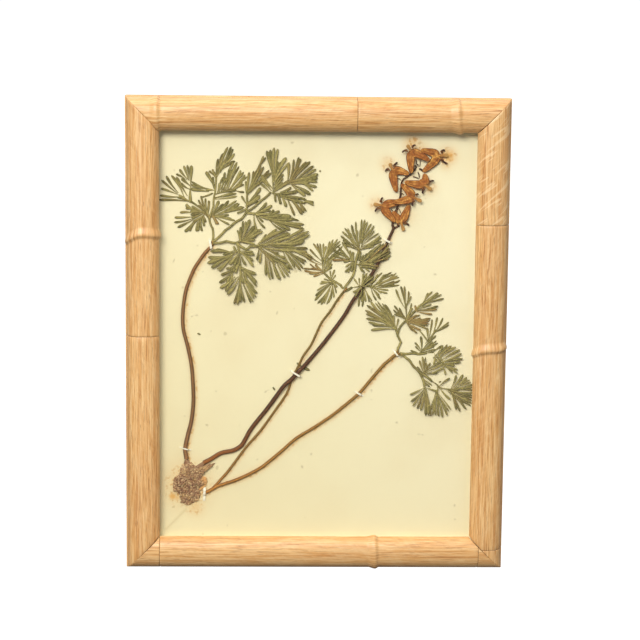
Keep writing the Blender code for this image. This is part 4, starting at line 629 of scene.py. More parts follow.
# Leaf lobes in the photograph's pixels: base x, base y, tip x, tip y, width
LEFT_LEAF_TOP = [
    (212.8, 241.5, 212.4, 226.5, 2.2), (212.4, 228, 209.2, 217.5, 2.2), (210, 219, 204, 212, 2.2),
    (209, 218, 214, 204, 1.8), (213.4, 206, 215.1, 192, 1.8), (214.9, 194, 216.2, 175.5, 1.8),
    (187.5, 195.9, 176.4, 176.7, 3.5), (184.4, 197.4, 171.5, 175.2, 3.4),
    (178.4, 192.8, 166.1, 175.6, 3.2), (177.6, 193.6, 161.5, 179.8, 3), (177.6, 194.3, 161, 188.2, 3),
    (183, 196.6, 160, 195.1, 3), (189, 201.2, 159, 199.7, 3.2), (191.4, 202.6, 177.5, 195.6, 5),
    (190.6, 184.3, 191.4, 165.2, 4.2), (189.1, 180.5, 187.2, 164.9, 2.8), (188.3, 179.8, 183.7, 165.6, 3),
    (187.5, 179, 179.5, 169.1, 3.2), (186.8, 179.8, 176.1, 173.7, 2.6), (190.6, 185.9, 181.4, 178.3, 3.6),
    (190.4, 189.4, 180.7, 182.8, 3), (209, 189, 190.6, 182.8, 5.5), (209, 191.3, 190.4, 188.6, 4.5),
    (190.6, 186, 190.6, 202, 4), (214.9, 190.2, 206, 189.6, 3), (193.7, 208.9, 185.6, 204.3, 4),
    (193.7, 208.9, 185.6, 208.1, 3), (194, 212.7, 179.9, 212.3, 3), (193, 216.5, 174.5, 217.3, 3),
    (193, 218.4, 174.2, 222.2, 2.6), (193.6, 219.3, 177.6, 227.2, 3.2), (194.4, 219.8, 184.9, 231.8, 4),
    (196.4, 219.6, 189.8, 231, 2.4), (197.5, 219.1, 196.7, 231.4, 3.6), (199, 219.1, 198.3, 231, 3),
    (200.4, 218.6, 202.1, 231, 2.4), (201.8, 217.3, 204.4, 226.1, 2.4), (202.6, 215.5, 205.9, 222.2, 2.2),
    (205.4, 213.4, 190.6, 207.3, 6), (205.4, 212, 191, 216.5, 13), (205.4, 213.4, 189.6, 200.4, 2.5),
    (206.2, 211.2, 198.3, 199.7, 2), (206.2, 211.2, 198.3, 205, 2), (206.4, 211.6, 201, 195.6, 2),
    (200.8, 197.2, 213, 192.8, 1.5), (206.7, 211.9, 205.5, 198.2, 2), (207.4, 212.4, 209, 200.4, 2.4),
    (210, 219, 205, 209, 3.4), (216.4, 177.2, 218.1, 158.4, 2.6), (217.4, 175.4, 223.5, 153, 4),
    (218.9, 173.9, 227.7, 146.9, 3), (220.4, 172.6, 231.2, 146.5, 3.2), (226.3, 161.1, 233.1, 148.8, 2),
    (220.2, 167.2, 234.6, 153.4, 3.2), (215.9, 178, 225.8, 155.3, 6.5), (217.3, 173.1, 235, 160.7, 3.6),
    (214.6, 187.4, 205.9, 171.4, 4.5), (214.8, 176.4, 209, 170.6, 2.6), (215.4, 176.4, 212.4, 169.1, 2),
    (216.2, 178, 214.3, 171.4, 2), (214.9, 188.4, 212.8, 176.7, 2.4), (217.1, 193, 219.7, 182.8, 3),
    (217.9, 193, 225, 176.7, 5), (221.2, 191.5, 225, 172.1, 3), (222.7, 190.4, 231.2, 168.3, 6),
    (225, 190.4, 235.8, 160.7, 6), (227.3, 190.4, 238, 165.2, 5), (228.9, 190.4, 242.6, 170.6, 6),
    (230.2, 191.2, 246.5, 175.2, 5), (214.6, 194.4, 236.5, 189.7, 4), (234.5, 189.9, 244.2, 192, 2.5),
    (231.5, 191, 243.4, 182.8, 5), (214.6, 197.4, 233.5, 193, 4), (214.2, 198.6, 237.3, 194.6, 5),
    (211.5, 214.7, 218.9, 200.4, 4), (211.6, 214.9, 223.5, 203.5, 3), (211.8, 215.2, 228.9, 200.4, 3.6),
    (212.1, 215.9, 238, 201.2, 5), (213.6, 216, 239.6, 203.5, 3), (213.4, 215.9, 244, 207, 4.5),
    (214.1, 216, 228.9, 214.6, 3), (214.1, 216.3, 231.9, 218.8, 2.8), (214, 216.6, 235, 220.3, 2.6),
    (214.9, 216.6, 229.6, 224.5, 2.6), (212.6, 215.5, 216.6, 224.2, 2.4), (213.1, 216.3, 218.5, 224.2, 2),
    (208.6, 218.4, 214.8, 215, 3),
]
LEFT_LEAF_RIGHT = [
    (212.8, 241.5, 225.6, 229.6, 2.2), (224.8, 230.2, 233.4, 223.6, 2.2),
    (232.4, 224.2, 241.8, 218.4, 2.2), (240.8, 219.2, 246, 212, 2.2), (245, 213.4, 256, 205.4, 2),
    (255, 206, 263.6, 198.4, 2), (262.8, 199, 271, 191.6, 2), (245.6, 214, 246.6, 204.6, 1.8),
    (246.2, 206.6, 247.2, 199.6, 1.8), (247, 201.2, 247.3, 190.6, 1.8), (245, 212.7, 257.5, 213.6, 2.2),
    (270, 192.4, 260.6, 183.4, 3), (271.4, 190.5, 261.9, 178.9, 3.4), (272.8, 188.4, 260.6, 174.4, 4),
    (274.3, 180.9, 266.7, 150.5, 4.5), (274.6, 179.3, 270.2, 149.6, 4.5), (275.3, 177.7, 274, 147.3, 3.4),
    (275, 176.4, 277.7, 148.6, 3.4), (274.4, 175.2, 279.4, 161, 5), (273.4, 192.6, 274.6, 165.5, 6),
    (275.3, 178.4, 286.1, 157.2, 4.6), (275, 180.2, 289.3, 162.3, 2.4), (287.2, 183.6, 288.7, 162.3, 3.4),
    (275, 185.4, 283.3, 173.8, 2.2), (275.2, 186.6, 282.9, 177.6, 2), (275.6, 188.6, 282.9, 182.1, 2.2),
    (288.3, 182.5, 293.8, 159.1, 2.6), (289, 182.6, 298.9, 156.9, 3.4), (294.4, 170.2, 300.8, 158.5, 2),
    (290.5, 180, 298.9, 166.1, 2.4), (290, 182.4, 306.2, 161.4, 3), (291, 182.6, 310, 161.4, 4),
    (292.8, 182.1, 313.5, 165.5, 3.4), (298.2, 178.9, 316.1, 168.7, 2.8), (293.4, 182.3, 318, 173.8, 4.5),
    (293, 182.6, 317.7, 177.6, 4.5), (294.1, 182.6, 317.4, 181.5, 3), (298.2, 182.4, 316.7, 186.6, 3.4),
    (300.8, 182.4, 312.9, 190.7, 2.6), (285.4, 183.1, 309.7, 179.5, 8), (292.4, 184.2, 310.4, 194.2, 4.5),
    (291.2, 184.4, 305.3, 195.5, 4), (271.8, 192.9, 289.4, 180.4, 4.4), (280.3, 192.8, 291.2, 187.2, 2.4),
    (273.6, 193, 297.6, 191, 4), (282.4, 195.2, 306.5, 201.2, 6), (304.5, 200.6, 313.5, 201.9, 2.4),
    (304.5, 200.8, 313.5, 204.7, 2.2), (295.4, 196.6, 305.3, 212.1, 5), (286.4, 195.2, 302.1, 214, 4.5),
    (285.4, 194.9, 294.4, 215.3, 3), (280.3, 193.6, 286.1, 206.6, 3.4), (277.9, 193.6, 280.7, 203.8, 2.4),
    (274.9, 193, 275.6, 201.5, 2), (272.4, 192.6, 303.3, 200, 5.5), (247.2, 194.3, 249.1, 171.9, 3),
    (247.4, 193, 255.2, 170.6, 5.4), (254, 174, 264.8, 156, 5), (247.7, 193.4, 262.5, 164.9, 6),
    (247.8, 193.6, 270.8, 170.6, 6), (247.6, 193.6, 260.6, 181.5, 4), (247, 193.4, 245.9, 180.8, 2),
    (246.4, 205, 259.3, 193.6, 6), (246.6, 205.4, 260, 196.8, 2.4), (246.4, 206.6, 258.1, 200.6, 2.2),
    (247, 204.4, 260.6, 187.2, 4), (246.9, 204.4, 241.5, 195.5, 2.6), (246.6, 208.6, 237, 213, 2),
    (254.2, 213.7, 266.7, 202.2, 3.4), (255.4, 213.2, 272.1, 205, 3.6), (255.4, 213.4, 270.8, 210.2, 2),
    (256.1, 214.4, 269.3, 214, 2.4), (267.3, 214.6, 274, 209.5, 2.4), (263.7, 216.7, 279.7, 210.5, 3.2),
    (258.6, 215.4, 282.3, 214.6, 3), (262.1, 216.7, 291.2, 215.9, 4.5), (264.3, 217.2, 294.4, 218.4, 4.5),
    (266.8, 218.2, 299.5, 221.6, 5), (270.6, 219.9, 304.3, 226.1, 7), (268.8, 218.9, 284.2, 229.3, 5),
    (279, 223.3, 290, 229.3, 4), (255.9, 214.8, 263.2, 221.6, 2.6), (255.6, 214.8, 265.1, 228, 2.6),
    (254.5, 213.8, 272.8, 219, 3.4), (253.6, 213.6, 256.8, 232, 3),
]
LEFT_LEAF_LOWER = [
    (212.8, 242.6, 227, 240.4, 2.2), (226, 240.4, 237.2, 242.6, 2.2), (236, 241.8, 239.2, 250.4, 2.2),
    (235.8, 242.6, 242.6, 239.8, 2.2), (236, 242, 248, 249.6, 2.4), (246, 249.4, 251, 245, 2),
    (249.4, 245.8, 260.4, 245.2, 2.4), (240.2, 240.6, 237.4, 229.7, 2), (240.8, 240.3, 240.6, 226.5, 2.2),
    (241.2, 240.8, 244.5, 220, 5), (241.6, 241, 250, 219, 4.5), (241.9, 241.2, 254.5, 225.5, 4.5),
    (242.3, 241.5, 258, 229, 4.5), (242.6, 241.3, 262.5, 229.5, 5), (242.8, 241, 257, 234.5, 3),
    (242.4, 240.9, 255, 239, 3), (241.8, 240.8, 254.8, 243.8, 2.4), (233.9, 252.6, 215.7, 248.8, 3),
    (233, 253.3, 210.6, 250.7, 4), (233, 254, 208.1, 256.8, 4.2), (232.4, 255, 207.4, 262.8, 4.2),
    (232.4, 255.1, 211.3, 267.3, 4.4), (232.4, 255.4, 217.6, 270.2, 5), (239.8, 249.2, 223.4, 257.4, 8),
    (236.4, 251.4, 233.6, 245.8, 2.4), (239.2, 250.2, 253.3, 251.4, 2.8), (239.4, 251, 254.6, 253.9, 3.2),
    (239.8, 251.3, 253.3, 260.3, 3.4), (239.9, 251.5, 253.3, 266, 3.6), (240, 252.2, 245.7, 264.7, 3.2),
    (238.8, 250, 248.6, 257.6, 4), (239.3, 249.7, 240, 265.4, 2.6), (240, 263.4, 240, 279.4, 2.6),
    (239.1, 251.3, 229.1, 264.1, 4), (239.4, 253.8, 234.2, 265.4, 4), (237.4, 264.7, 225.9, 268.3, 3),
    (236.7, 267.6, 220.8, 274.6, 3.6), (239.9, 258.6, 232.5, 271.9, 8), (233, 271.6, 219.2, 282.3, 3.6),
    (235.2, 276, 219.9, 287.7, 3.8), (238.6, 276, 225.3, 290.9, 3.8), (239.4, 276.8, 227.2, 294.1, 4),
    (233, 268.6, 228.1, 284.9, 6), (239.4, 265, 255.9, 273.7, 4.4), (239.6, 266.4, 256.5, 282, 4),
    (240.4, 269.4, 255.6, 287.1, 6), (246.9, 282.4, 256.9, 292.5, 3.2), (241.8, 276, 255.3, 297.9, 4.8),
    (240.9, 278, 252.1, 302.4, 4.8), (240.4, 279.9, 244.4, 301.7, 3), (240.2, 279.9, 240, 301.7, 3.4),
    (240.4, 278, 235.5, 304.6, 6), (239.6, 264, 243.4, 283, 9), (257.6, 243.6, 266.4, 233.6, 2.6),
    (258.4, 243.8, 278.3, 229.4, 6), (260.5, 244.9, 288.2, 230.1, 6.5), (263.3, 245.6, 291.7, 234.3, 6),
    (272.1, 244.7, 305.7, 229.4, 6.5), (276.3, 244.5, 309.9, 232.2, 6.5), (286.2, 244.3, 304.3, 239.9, 4),
    (287.6, 246.1, 302.2, 240.6, 6), (284.2, 247.7, 307.8, 249.7, 7), (286.3, 248, 312.7, 258.2, 5),
    (284.2, 248.4, 305.7, 262.4, 5.5), (283.2, 247.9, 302.2, 269.4, 5.5), (282.8, 249.2, 293.8, 268.7, 5),
    (256.7, 245.3, 296.2, 247.2, 9), (259, 246.7, 256.6, 259.6, 2.6), (261.5, 248, 259.4, 262.7, 3.4),
    (265, 252.4, 265.7, 275, 3), (267.3, 253.8, 271.3, 279.2, 5), (271.7, 255.2, 279.7, 279.2, 4.6),
    (274.9, 259.4, 284.6, 277.1, 2.6), (276.3, 260, 288.5, 275.7, 2.6), (276.5, 259.7, 289.6, 271.8, 3),
    (276, 258.3, 290.3, 268, 3.4), (275.3, 256.6, 288.2, 261.7, 3.4), (274.4, 254.2, 285.3, 257.5, 3.4),
    (271.1, 250.8, 278.6, 252.7, 3.2), (258.8, 246.9, 278.6, 260.9, 11),
]
MIDDLE_LEAF_LEFT = [
    (343.2, 288.4, 340, 283.9, 2.2), (340.9, 284.9, 333, 280.2, 2.2), (334, 280.9, 327.4, 276.4, 2.2),
    (328.4, 277.2, 323.4, 272, 2.2), (323, 273.6, 313.2, 276.1, 3.4), (322.9, 272.2, 308.9, 273.2, 3.4),
    (322.2, 271.5, 304, 270.4, 3.4), (321.5, 270.3, 303.3, 268.3, 3), (320.1, 270, 309.6, 263.4, 2.6),
    (320.9, 270, 315.3, 264.1, 2.4), (324.3, 272.2, 310, 270.1, 7), (323.2, 265, 306.1, 255.7, 5.5),
    (322.8, 262, 309.6, 248.7, 3.5), (322.8, 261, 313.2, 243.1, 3.4), (322.4, 260, 317, 243.1, 3),
    (322.4, 259.4, 319.8, 243.1, 2.8), (323, 260, 323.3, 243.1, 3), (323.3, 260, 326.1, 245.9, 4),
    (323.6, 260.8, 331.4, 241, 6), (323.9, 261, 334.9, 239.6, 6), (324, 262, 339.1, 239.2, 6),
    (324.1, 262.6, 341.9, 244.5, 5), (324.2, 263.4, 340.5, 250.1, 5), (324.4, 263.6, 339.1, 254.3, 4),
    (323.4, 272.3, 332.1, 263.4, 4), (323.8, 273.2, 332.1, 266.9, 3), (323.2, 271.8, 330.7, 259.9, 5),
    (323, 273.4, 325.1, 256.1, 9), (323.9, 261.6, 336, 248.2, 9), (330.8, 280.6, 330, 270.4, 2.6),
    (331, 280.2, 334.6, 269.4, 3.4), (331, 280.2, 335.6, 274.6, 2.6), (332, 280.5, 323.7, 278.4, 2.6),
    (332.4, 281.5, 319.5, 283.4, 3), (332.4, 281, 320.9, 281.3, 3), (332.7, 281.6, 316.7, 290.4, 2.6),
    (332.6, 282.2, 315.3, 295.7, 4.5), (332.3, 282.4, 314.6, 300.3, 4.5), (332.3, 282.6, 317.4, 303.4, 4),
    (332.3, 282.8, 320.9, 304.5, 4), (332.4, 282.8, 325.1, 304.1, 5), (332.7, 282.8, 328.2, 302.7, 3.6),
    (332.8, 282.6, 330.7, 299.2, 3), (332.6, 282.4, 334, 297.4, 3.4), (332.8, 282.2, 336.2, 293, 2.6),
    (333.2, 281.6, 337, 287, 2.2),
]
MIDDLE_LEAF_TOP = [
    (344, 288.4, 348.6, 281.8, 2.2), (347.8, 283, 352.9, 275.2, 2.2), (352.2, 276.6, 354.4, 269.4, 2.2),
    (354, 271.2, 355, 263.2, 2.2), (354.8, 265, 356.2, 257.6, 2.2), (355.8, 259.4, 359.4, 247.7, 2.4),
    (353.4, 263.2, 361.6, 263.8, 2.8), (356.8, 261.8, 349.2, 260, 2.8), (358.9, 250, 342.6, 239.6, 4),
    (358.9, 249.3, 340.5, 235.4, 4), (358.7, 248.6, 341.9, 231.1, 3.4), (358.7, 247.4, 344.4, 227.6, 3),
    (358.7, 246.4, 347.5, 228, 3), (358.8, 246.4, 351.4, 224.5, 4), (358.8, 244.3, 355.6, 221.3, 3),
    (359.1, 242.9, 361.6, 218.9, 3), (359.9, 242.9, 364.7, 219.2, 3), (360.4, 242.9, 367.2, 221.3, 3.4),
    (360.6, 241.1, 372.8, 223.8, 6), (361, 243.1, 373.5, 229, 5), (359.1, 250, 360.2, 229, 8),
    (358.9, 249.4, 350.4, 232.5, 8), (361.6, 245.9, 379.8, 233.6, 5), (361.6, 246.1, 381.2, 237.1, 3.4),
    (361.4, 247.3, 381.6, 241, 3.4), (359.6, 249.3, 375.6, 243.1, 4), (359, 249.2, 343.3, 242.4, 6),
    (358.8, 250, 373.5, 245.9, 4), (352.4, 260.4, 332.1, 259.9, 3.6), (352.4, 260.6, 343.3, 261.4, 4),
    (352.1, 260.1, 331.4, 254.3, 3.4), (352.1, 260, 333.5, 250.1, 4), (352, 260, 338.4, 246.6, 4),
    (352, 260, 341.9, 241.7, 4), (352.1, 260, 346.1, 248, 3), (352.2, 260, 349.7, 250.1, 2.4),
    (352.4, 260.2, 352.9, 251.5, 2.4), (352.8, 261.4, 339.1, 251.5, 5), (353.5, 261.6, 345.4, 266.9, 3.2),
    (353.5, 261.6, 344.7, 271.8, 3.6), (353, 261.6, 347.9, 272.5, 3), (353, 262, 351.1, 271.1, 2.4),
    (358.6, 260.1, 360.2, 250.9, 2.4), (359.2, 263.3, 363.7, 254.3, 3), (359.3, 263.6, 367.2, 252.9, 4),
    (359.5, 264, 373.5, 250.1, 6), (359.9, 264.4, 379.8, 246.6, 7), (359.9, 264.4, 388.2, 246.4, 7),
    (361.7, 264.2, 389.6, 249.2, 6), (363.2, 264, 390.4, 251.9, 4), (364.7, 263.8, 390.4, 255.4, 4.6),
    (366.8, 263.6, 387.5, 258.8, 4), (359.2, 263.5, 381.2, 254.6, 10), (359.2, 263.7, 374.2, 263.6, 3.4),
    (359.2, 263.8, 372.1, 268.3, 3), (358.9, 263.9, 369.3, 271.1, 3), (358.4, 263.9, 364.4, 272.5, 3),
    (357.8, 263.7, 361.6, 271.1, 2.6),
]
MIDDLE_LEAF_RIGHT = [
    (345.6, 290.9, 352.4, 286.9, 2.4), (351.2, 287.4, 362.6, 285.1, 2.6), (360.6, 285.2, 373, 286.1, 3.4),
    (361.2, 286, 363.7, 273.2, 2.6), (361.6, 286, 367.2, 272.5, 2.6), (359.4, 286.2, 353.9, 278.2, 3),
    (359.6, 286, 359.1, 277.5, 2.6), (363.4, 286, 373.5, 274.6, 5), (369.2, 287.2, 377.7, 273.9, 3.4),
    (370.2, 287.2, 383.3, 272.9, 5), (371.2, 287.2, 386.1, 273.9, 4), (372.2, 287.4, 392.8, 272.5, 5),
    (373.2, 287.8, 397.4, 273.9, 5.5), (373.6, 288, 400.2, 278.2, 6), (374, 287.6, 399.5, 283.1, 6),
    (374, 287.7, 388.2, 291.5, 6), (372.2, 287.2, 380.5, 294.3, 6), (371.6, 287.4, 380.5, 299.2, 3.6),
    (370.9, 287.6, 376.3, 300.3, 3.2), (369.8, 287.2, 394.6, 280.8, 9), (362.4, 284.9, 356, 292.2, 4.8),
    (361.9, 284.9, 360.2, 307, 7), (362.4, 284.9, 363.7, 302, 7), (363, 285.3, 370.7, 302, 5.4),
]
RIGHT_LEAF_TOP = [
    (397.4, 351.2, 397.7, 346.4, 2.2), (397.4, 348.6, 401, 340.6, 2.2), (400.9, 342.4, 397.2, 334.4, 2.2),
    (397.9, 336.2, 395.2, 327, 2.2), (397.2, 336.6, 400.4, 325.4, 2), (399.6, 326.8, 406.6, 319.4, 2),
    (404.8, 321, 417.4, 308, 2), (415.4, 309.8, 423.6, 302.6, 2), (395.6, 328.6, 370.7, 329.6, 4.6),
    (395.3, 327.3, 372, 324.6, 4.6), (395, 327, 368.2, 321.7, 4), (395, 326.8, 365.8, 318, 4.6),
    (394.8, 326.4, 365.8, 313.4, 4.6), (394.8, 326, 364.9, 309.7, 4.4), (394.8, 325.6, 366.6, 304.7, 4.4),
    (394.8, 325.2, 369.9, 300.6, 4.4), (394.6, 325, 375.7, 301, 5), (394.5, 324.8, 380.7, 303.1, 4.8),
    (394.3, 324.4, 384.4, 303.9, 4.2), (394.4, 325, 388.6, 312.6, 4.2), (394.6, 326.2, 393.1, 314.7, 4),
    (395.4, 328.1, 398.1, 318, 2.8), (396.8, 328.8, 374.9, 313, 11), (396, 329.4, 384.8, 314.7, 9),
    (405.4, 319.2, 393.1, 309.3, 3), (405.4, 318.6, 393.9, 305.1, 3.4), (405.6, 318.2, 398.9, 307.2, 3),
    (405, 319, 393.9, 313.8, 3), (406.6, 319.4, 397.6, 310.3, 5), (405.2, 308.4, 395.6, 288.6, 3.4),
    (405.4, 307.6, 400.6, 285.7, 3.6), (405.5, 306.9, 404.3, 285.7, 3), (405.6, 306.1, 408.5, 290.6, 3),
    (405.6, 307.4, 410.9, 295.6, 3), (406, 320.4, 405.1, 302.1, 2.8), (405.8, 320, 411.3, 302.7, 2.6),
    (406.2, 320, 412, 307.4, 2.2), (421.3, 305.7, 427.9, 292.3, 3), (421.1, 305.4, 432.1, 291, 2.8),
    (421, 305.4, 437.9, 292.3, 2.4), (421.3, 304.9, 441.2, 293.9, 2.6), (421.3, 304.4, 443.7, 298.1, 3.2),
    (415.2, 310, 431.3, 303.9, 3), (415.2, 310, 437.9, 305.6, 4), (415.2, 310.2, 437.1, 308.9, 3.6),
    (415, 310.3, 432.1, 313.8, 3.2), (416, 310.6, 414.7, 305, 2.2), (404.7, 320.8, 420.5, 315.9, 5),
    (406.5, 320.9, 430.4, 318, 4.6), (407.4, 321.7, 429.6, 322.1, 5), (406.7, 321.5, 427.9, 327.1, 6),
    (405.9, 321.6, 420.5, 329.6, 4), (406, 322.1, 417.2, 314.7, 2.4), (404.6, 320.6, 421.9, 322.1, 9),
    (405.2, 320.4, 413, 330.6, 3.2), (407.1, 321.2, 416.8, 332.9, 3.2), (412, 324, 427.4, 340.8, 2.6),
    (403.4, 320.4, 408.4, 321.6, 3),
]
RIGHT_LEAF_RIGHT = [
    (399.8, 352.9, 409, 353.6, 2.4), (407.6, 353.6, 418.5, 353.8, 2.4), (417, 353.9, 427, 352.6, 2.4),
    (425.6, 352.9, 434, 351.8, 2.8), (432.4, 352.4, 442.8, 345.1, 3.6), (428.3, 340.6, 432.1, 319.1, 3),
    (427.9, 340.6, 427.1, 327.5, 4), (433, 333.6, 437.1, 316.8, 3.4), (433.2, 333.9, 442.8, 317.6, 3.4),
    (433.6, 333, 448.9, 321.8, 2.8), (433.7, 332.6, 448.9, 324.5, 3), (425.1, 343.3, 435.9, 329.4, 3.4),
    (422, 351.6, 414.5, 342.1, 3.2), (421.4, 351.2, 420.6, 336, 4.4), (421.2, 351, 435.9, 335.2, 3.6),
    (421.4, 351.2, 437.4, 341.3, 4.7), (421.4, 351.8, 435.1, 347.4, 6), (422.2, 352.6, 415.2, 345.9, 2.8),
    (419.6, 352.6, 434, 342.4, 7), (421.4, 354.2, 410.3, 350.2, 3),
]
RIGHT_LEAF_LOWER = [
    (399.4, 354.4, 404.6, 355.2, 2.4), (403.2, 354.6, 409, 359.6, 2.4), (407.8, 358, 413.6, 366.6, 2.4),
    (412.4, 364.9, 420.4, 373.4, 2.4), (419.2, 372, 422.5, 378.8, 2.4), (421.9, 377.2, 424, 386, 2.4),
    (419.4, 371.8, 432, 380.7, 2.4), (430.6, 379.8, 439.2, 386.6, 2.6), (422.6, 373.2, 443.6, 362.7, 10),
    (433.8, 356, 442.8, 345.1, 3.8), (435.9, 356, 447, 344, 4), (437, 357.6, 451.2, 345.1, 4),
    (438.5, 359.1, 455.4, 346.3, 4), (440, 360.7, 459.6, 349, 4.2), (441.2, 361.6, 461.2, 352.8, 4.2),
    (441.3, 361.8, 462.3, 358.1, 4), (441.3, 362.7, 460.4, 361.2, 3.8), (441.3, 363.1, 454.3, 365, 4.6),
    (441.6, 363.4, 457.3, 368.9, 3), (441.6, 363.4, 457.3, 372.7, 3), (441.6, 363.8, 452, 371.9, 3),
    (441.6, 364, 445.1, 374.2, 3.2), (434.4, 352.6, 433.2, 364.2, 3.2), (443.8, 364.4, 435, 354, 9),
    (425.2, 373.2, 430.2, 362, 3), (422.9, 371.8, 437.4, 371.9, 3.4), (422.4, 372.4, 416.8, 365.8, 2.6),
    (423.2, 372.4, 419.1, 359.7, 3.4), (423.7, 372.4, 422.1, 355.9, 3.2),
    (424.2, 372.4, 425.2, 356.6, 2.6), (424.6, 372.4, 426, 362, 3), (420.8, 376, 430.6, 385.3, 5),
    (437.6, 387.4, 449.7, 377.3, 3.6), (450.4, 388.2, 455.8, 374.2, 3.6),
    (451.2, 388.2, 462.7, 373.8, 4.4), (453.8, 388, 466.5, 376.5, 4), (453.3, 388, 470.3, 380.3, 5),
    (453.3, 388.2, 473.4, 383.4, 3.4), (449.2, 389.3, 473, 388, 5), (449.2, 389.8, 473, 393.3, 5),
    (449.4, 390.2, 472.6, 398.7, 5), (449.6, 390.6, 471.9, 404.1, 5), (449.7, 391, 465.7, 408.6, 3.6),
    (450.4, 391, 459.6, 410.9, 3.6), (449.8, 390.4, 455.8, 409, 3.6), (438.6, 386.4, 449.7, 398.7, 4),
    (436.4, 386.2, 459.4, 390.4, 6), (447.7, 389.7, 468.6, 399.8, 9), (437.6, 393, 449.7, 410.2, 5),
    (437.4, 393, 447, 414.8, 3.6), (437.4, 393, 442, 416.7, 4), (437, 393, 438.2, 415.5, 3.6),
    (436.5, 392.3, 433.6, 414.8, 6), (436.2, 392, 431.3, 410.2, 5), (436.3, 389, 435.9, 407.1, 6),
    (424.4, 386.8, 409.5, 394.1, 3.6), (424, 388.4, 410.3, 401, 3.6), (423.6, 388.6, 412.2, 405.6, 3.2),
    (423.6, 389.6, 416.8, 407.9, 3.6), (423.6, 389, 420.2, 409.8, 4), (424.4, 387, 425.2, 414.8, 4.4),
    (425.4, 388.5, 428.3, 414.8, 4), (426, 388.8, 430.6, 415.5, 3.2), (423.4, 386.6, 436.5, 390.6, 3),
    (423.7, 385.2, 427.5, 407.1, 6), (438.6, 385.9, 435.6, 392.4, 3.6),
]


RIM_SHADE, rim_nodes, rim_given, rim_made = new_group(
    "rim_shade", {"From": "Float", "To": "Float", "Amount": "Float"}, {"Mask": "Float"})
rim_range = rim_nodes.node("ShaderNodeMapRange", {
    "Value": rim_nodes.attribute("rim"), "From Min": rim_given.outputs["From"],
    "From Max": rim_given.outputs["To"], "To Max": rim_given.outputs["Amount"]})
rim_nodes.feed(rim_made.inputs["Mask"], rim_range.outputs["Result"])


def rim_shade(nodes, start, full, amount):
    """A mask that darkens dried tissue towards its edge: none at `start`, `amount` from `full` on."""
    values = {"From": start, "To": full, "Amount": amount}
    return nodes.node("ShaderNodeGroup", values, node_tree=RIM_SHADE).outputs["Mask"]


def leaf_material():
    """Dried blade: mottled olive, dark at the rim, pale along the middle vein, brown in places."""
    made, nodes, shader = new_material("dried_leaf", 0.82, Specular_IOR_Level=0.2)
    place = nodes.place()
    mottle = nodes.noise(place, 700.0, 4.0, 0.65)
    patch = nodes.noise(place, 90.0, 3.0, 0.55)
    colour = nodes.ramp(nodes.math("ADD", nodes.math("MULTIPLY", mottle, 0.8), nodes.attribute("tone")),
                        [(0.30, srgb(91, 84, 42)), (0.52, srgb(131, 121, 68)), (0.82, srgb(177, 162, 96))])
    colour = nodes.mix(nodes.math("MULTIPLY", nodes.attribute("brown"), 0.8), colour, srgb(157, 111, 59))
    colour = nodes.mix(nodes.mask(patch, 0.5, 0.7, 0, 0.45), colour, srgb(132, 104, 58))
    colour = nodes.mix(rim_shade(nodes, 0.55, 1.0, 0.7), colour, srgb(74, 68, 35))
    vein = nodes.mask(nodes.attribute("rim"), 0.0, 0.24, 0.6, 0)
    colour = nodes.mix(vein, colour, srgb(207, 186, 120))
    nodes.feed(shader.inputs["Base Color"], colour)
    bump(nodes, shader, mottle, 0.35, 0.0003)
    return made


LEAF = leaf_material()


def off_sheet(flat, lift):
    """The grid of points (x, y, z) that stand `lift` mm off the sheet's face at the flat (x, z)."""
    return np.stack([flat[..., 0], SHEET_Y - lift, flat[..., 1]], -1)


def fingers(lobes, fill):
    """Cuts wide lobes into fingers side by side, which spread a little and are shorter at the sides.

    Returns the base and tip on the sheet, the width, whether it is a bare stalk, and the lobe's number.
    """
    data = np.array(lobes, float)
    count = np.maximum(1, np.round(data[:, 4] / FINGER_PX)).astype(int)
    first = np.repeat(np.cumsum(count) - count, count)
    lobe = np.repeat(np.arange(len(data)), count)
    data, count = data[lobe], count[lobe]
    place = (np.arange(len(first)) - first - (count - 1) / 2) / count
    base, tip = on_sheet(data[:, 0:2]), on_sheet(data[:, 2:4])
    lobe_width = data[:, 4] * MM_PER_PIXEL
    spread = np.column_stack([base[:, 1] - tip[:, 1], tip[:, 0] - base[:, 0]])
    spread *= (place * lobe_width / np.linalg.norm(spread, axis=1))[:, None]
    tip = tip + TIP_SPREAD * spread - SIDE_SHORTER * place[:, None] ** 2 * (tip - base)
    base = base + FOOT_SPREAD * spread
    is_stalk = data[:, 4] <= STALK_PX
    width = np.where(is_stalk, lobe_width, np.clip(lobe_width * fill / count, *FINGER_WIDTHS))
    return base, tip, width, is_stalk, lobe


